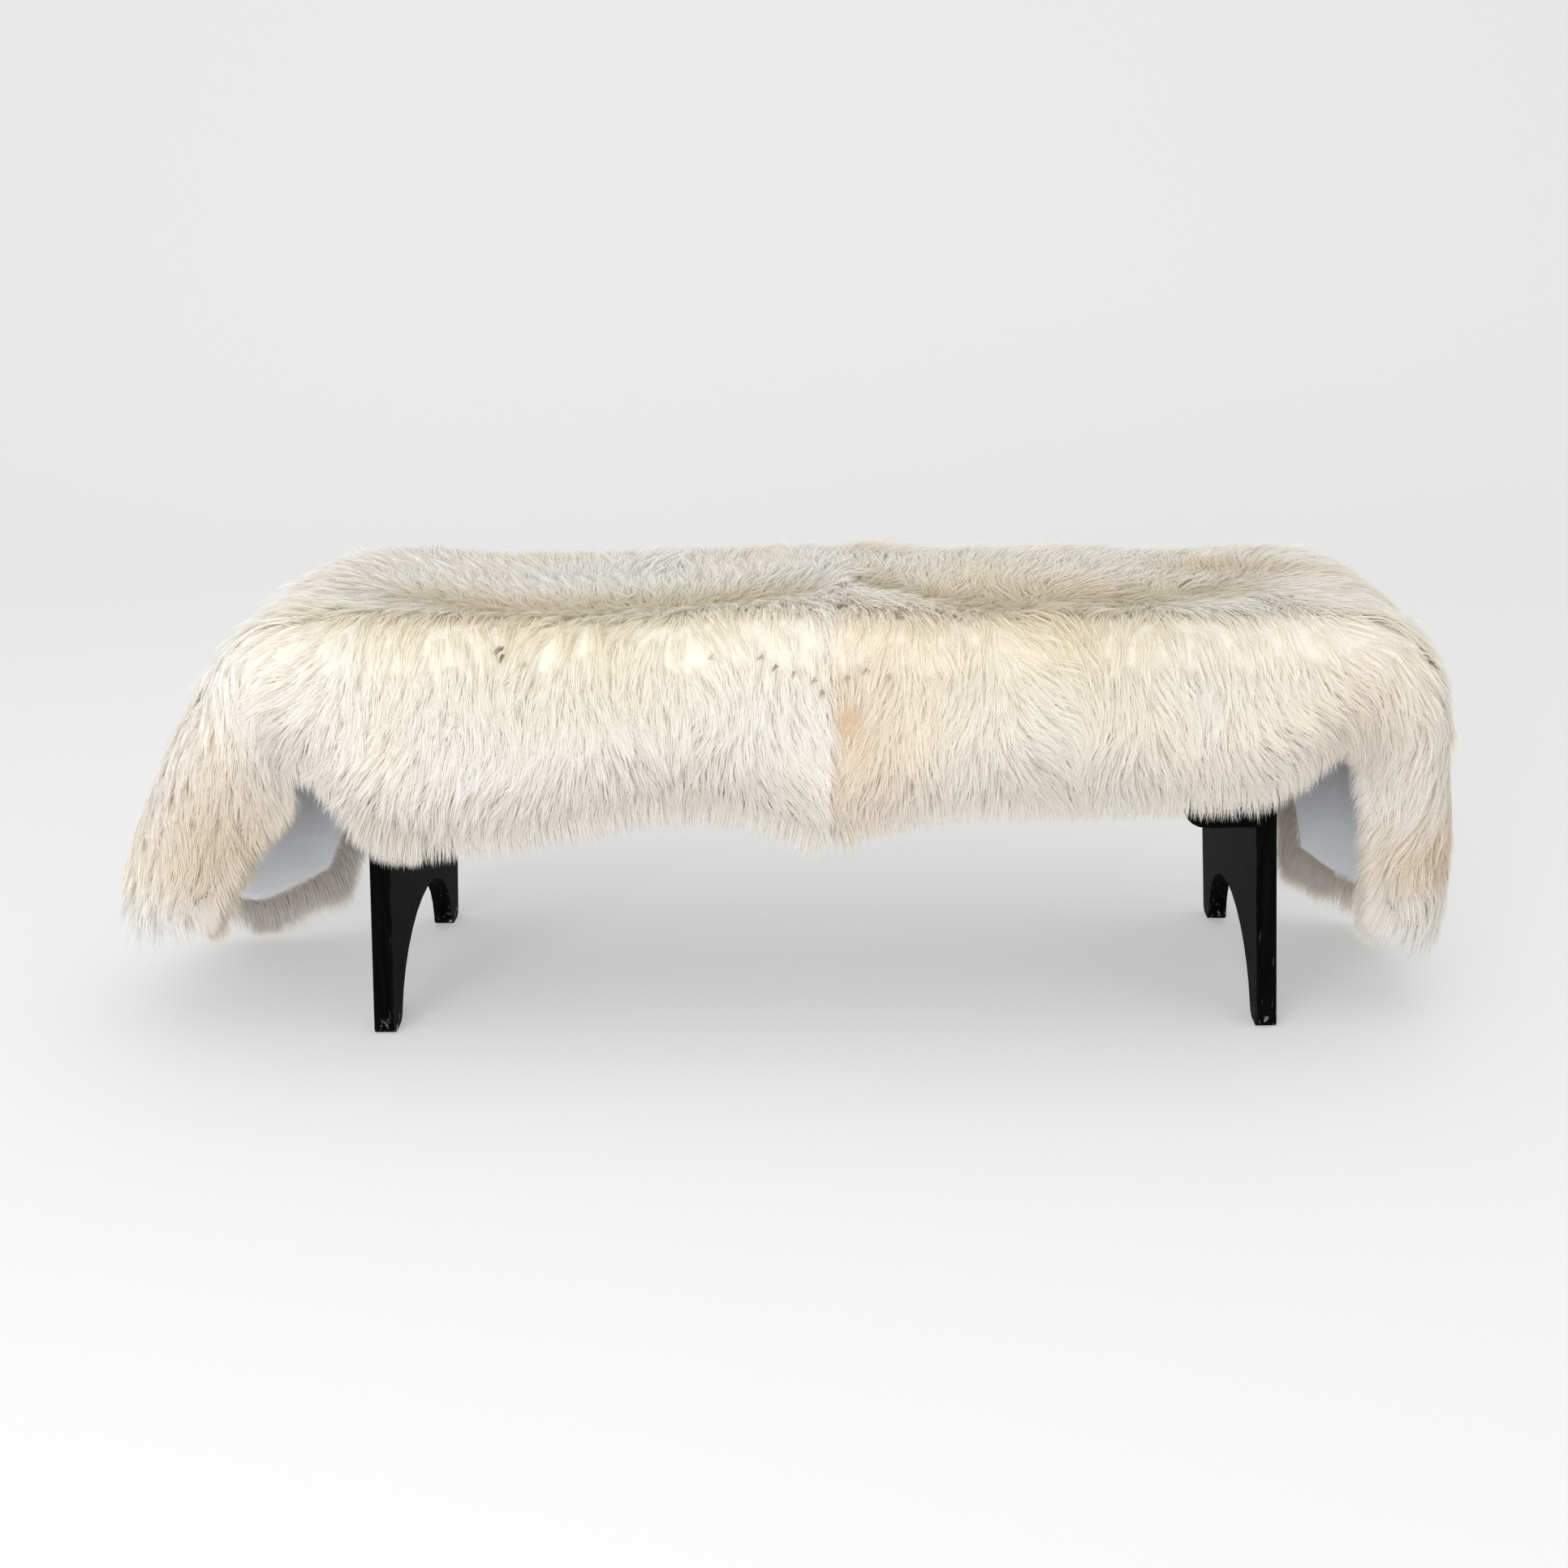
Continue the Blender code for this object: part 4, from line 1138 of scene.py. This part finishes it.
def hem_locks(name):
    draw = random.Random(41 + int(PELTS[name]["seed"]))
    grid = skin_grid(name, HEM_PITCH, HEM_ACROSS)
    ways, loop = rim_ways(grid), rim_loop(grid)
    rim, locks = [(Vector(grid[i][j]), Vector(ways[i, j])) for i, j in loop], []
    # The wool fans round the flap's corners, so a lock points like its neighbours.
    near = [[way for there, way in rim if (there - here).length < HEM_FAN] for here, _ in rim]
    rim = [(here, sum(ways_near, Vector((0.0, 0.0))) / len(ways_near))
           for (here, _), ways_near in zip(rim, near)]
    for (here, way_here), (there, way_there) in itertools.pairwise(rim):
        off_bench = here.x - flat_run(PELTS[name])
        past, at_end = smooth_step(off_bench / 0.10), smooth_step((off_bench - 0.20) / 0.15)
        # Ways that differ have a mean shorter than 1, which tells a corner.
        corner = smooth_step((0.995 - way_here.length) / 0.085)
        sets = CORNER_SETS if corner > 0.2 else END_SETS if at_end > 0.3 else (0.0,)
        for (n, between), ring in itertools.product(enumerate(sets), HEM_RINGS):
            beyond, share, long, at_end_long, dark = ring
            spot = here.lerp(there, n / len(sets))
            way = way_here.lerp(way_there, n / len(sets)).normalized()
            loft, out = loft_at(name, *spot), wool_way(name, *spot)
            edge = off_rim(name, spot, way, 0.0, 0.0)
            outward = (off_rim(name, spot, way, 0.010, 0.0) - edge).normalized()
            point = off_rim(name, spot, way, beyond, (share + between) * loft)
            swing = Vector([draw.gauss(0.0, HEM_SWING) for _ in range(3)])
            lay = (outward + (HEM_SAG + FLAP_SAG * past) * GRAVITY + swing).normalized()
            off_end = smooth_step((full_length(PELTS[name]) - spot.x - 0.04) / 0.07)
            long *= HEM_LONG[name] * (1.0 + (at_end_long - 1.0) * at_end) * draw.uniform(0.94, 1.04)
            long *= 1.0 - HEM_SHORTER_AT_FRONT * past * max(-way.y, 0.0) ** 4 * off_end
            long *= 1.0 + LONGER_AT_CORNER * corner * at_end
            if lay.z < 0.0:
                long = min(long, (point.z - HEM_OFF_FLOOR) / (-lay.z * 1.1 * LOCK_LONG))
            # Painted shade: each ring is darkened towards the inside grey by its share.
            tone = blend_tone(wool_tone(name, *spot, point), colour(*INSIDE_SHADE_TONE), dark)
            size = (long, 1.0, draw.uniform(0.30, 0.60))
            locks.append((point, out, lay, size, draw.randrange(LOCK_KINDS), tone))
    return locks


for name in PELTS:
    bundles["hem_" + name] = lock_bundle(name, "hem")
    hem = lay_pieces("hem_" + name, hem_locks(name), bundles["hem_" + name], wool_materials[name])
    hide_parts(f"fringe_{name}_front", f"fringe_{name}_end", f"fringe_{name}_back")
for bundle in bundles.values():
    clear_bundle(bundle)


# The floor and the light. A pale paper sweep rolls up behind the bench. One broad soft
# light stands low in front of it, and a weak one hangs above.

def sweep_mesh():
    """A floor that rises behind in one long curve."""
    turns = [math.pi / 2 * k / 12 for k in range(1, 13)]
    profile = [(-6.0, 0.0), (2.2, 0.0)]
    profile += [(2.2 + 2.0 * math.sin(turn), 2.0 - 2.0 * math.cos(turn)) for turn in turns]
    profile.append((4.2, 7.0))
    corners = [(x, y, z) for y, z in profile for x in (-9.0, 9.0)]
    faces = [(2 * k, 2 * k + 1, 2 * k + 3, 2 * k + 2) for k in range(len(profile) - 1)]
    mesh = bpy.data.meshes.new("sweep")
    mesh.from_pydata(corners, [], faces)
    mesh.polygons.foreach_set("use_smooth", [True] * len(faces))
    return mesh


# The paper glows a little, which keeps the shadow faint.
PAPER = colour(192, 192, 192)
PAPER_GLOW = 0.27
WHITE = (1.0, 1.0, 1.0, 1.0)
WORLD_STRENGTH = 0.88
sweep = put_in_scene("sweep", sweep_mesh())
sweep_finish, paper_shader = new_finish("sweep", PAPER, 0.9)
paper_shader.inputs["Emission Color"].default_value = WHITE
paper_shader.inputs["Emission Strength"].default_value = PAPER_GLOW
sweep.data.materials.append(sweep_finish)


# A row for each lamp: its name, its place, what it looks at, its size and its watts.
LAMPS = (
    ("soft_top", (0.0, -0.6, 3.0), (0.0, 0.0, 0.3), (4.2, 3.2), 15.0),
    ("soft_front", (-1.0, -3.6, 1.5), (0.0, 0.0, 0.35), (3.0, 2.2), 98.0),
)
for label, place, aim, size, watts in LAMPS:
    lamp = bpy.data.lights.new(label, "AREA")
    lamp.shape, lamp.energy = "RECTANGLE", watts
    lamp.size, lamp.size_y = size
    holder = put_in_scene(label, lamp)
    holder.location = place
    holder.rotation_euler = (Vector(aim) - Vector(place)).to_track_quat("-Z", "Y").to_euler()

world = bpy.data.worlds.new("studio")
world.use_nodes = True
backdrop = world.node_tree.nodes["Background"]
backdrop.inputs["Color"].default_value = WHITE
backdrop.inputs["Strength"].default_value = WORLD_STRENGTH
bpy.context.scene.world = world
bpy.context.scene.view_settings.view_transform = "Standard"

# The camera stands in front, a little above, and looks 20 degrees down.
CAMERA_PITCH = math.radians(20.10)
CAMERA_YAW = math.radians(0.90)
CAMERA_PLACE = (BENCH_X + 0.0465, -1.947, 0.955)
FRAME_WIDE = 1932
FOCAL_PIXELS = 2139
CENTRE_PIXEL = 1099
eye = bpy.data.cameras.new("camera")
eye.sensor_width = 36.0
eye.lens = eye.sensor_width * FOCAL_PIXELS / FRAME_WIDE
eye.shift_x = (FRAME_WIDE / 2 - CENTRE_PIXEL) / FRAME_WIDE
camera = put_in_scene("camera", eye)
camera.location = CAMERA_PLACE
camera.rotation_euler = (math.pi / 2 - CAMERA_PITCH, 0.0, -CAMERA_YAW)
bpy.context.scene.camera = camera
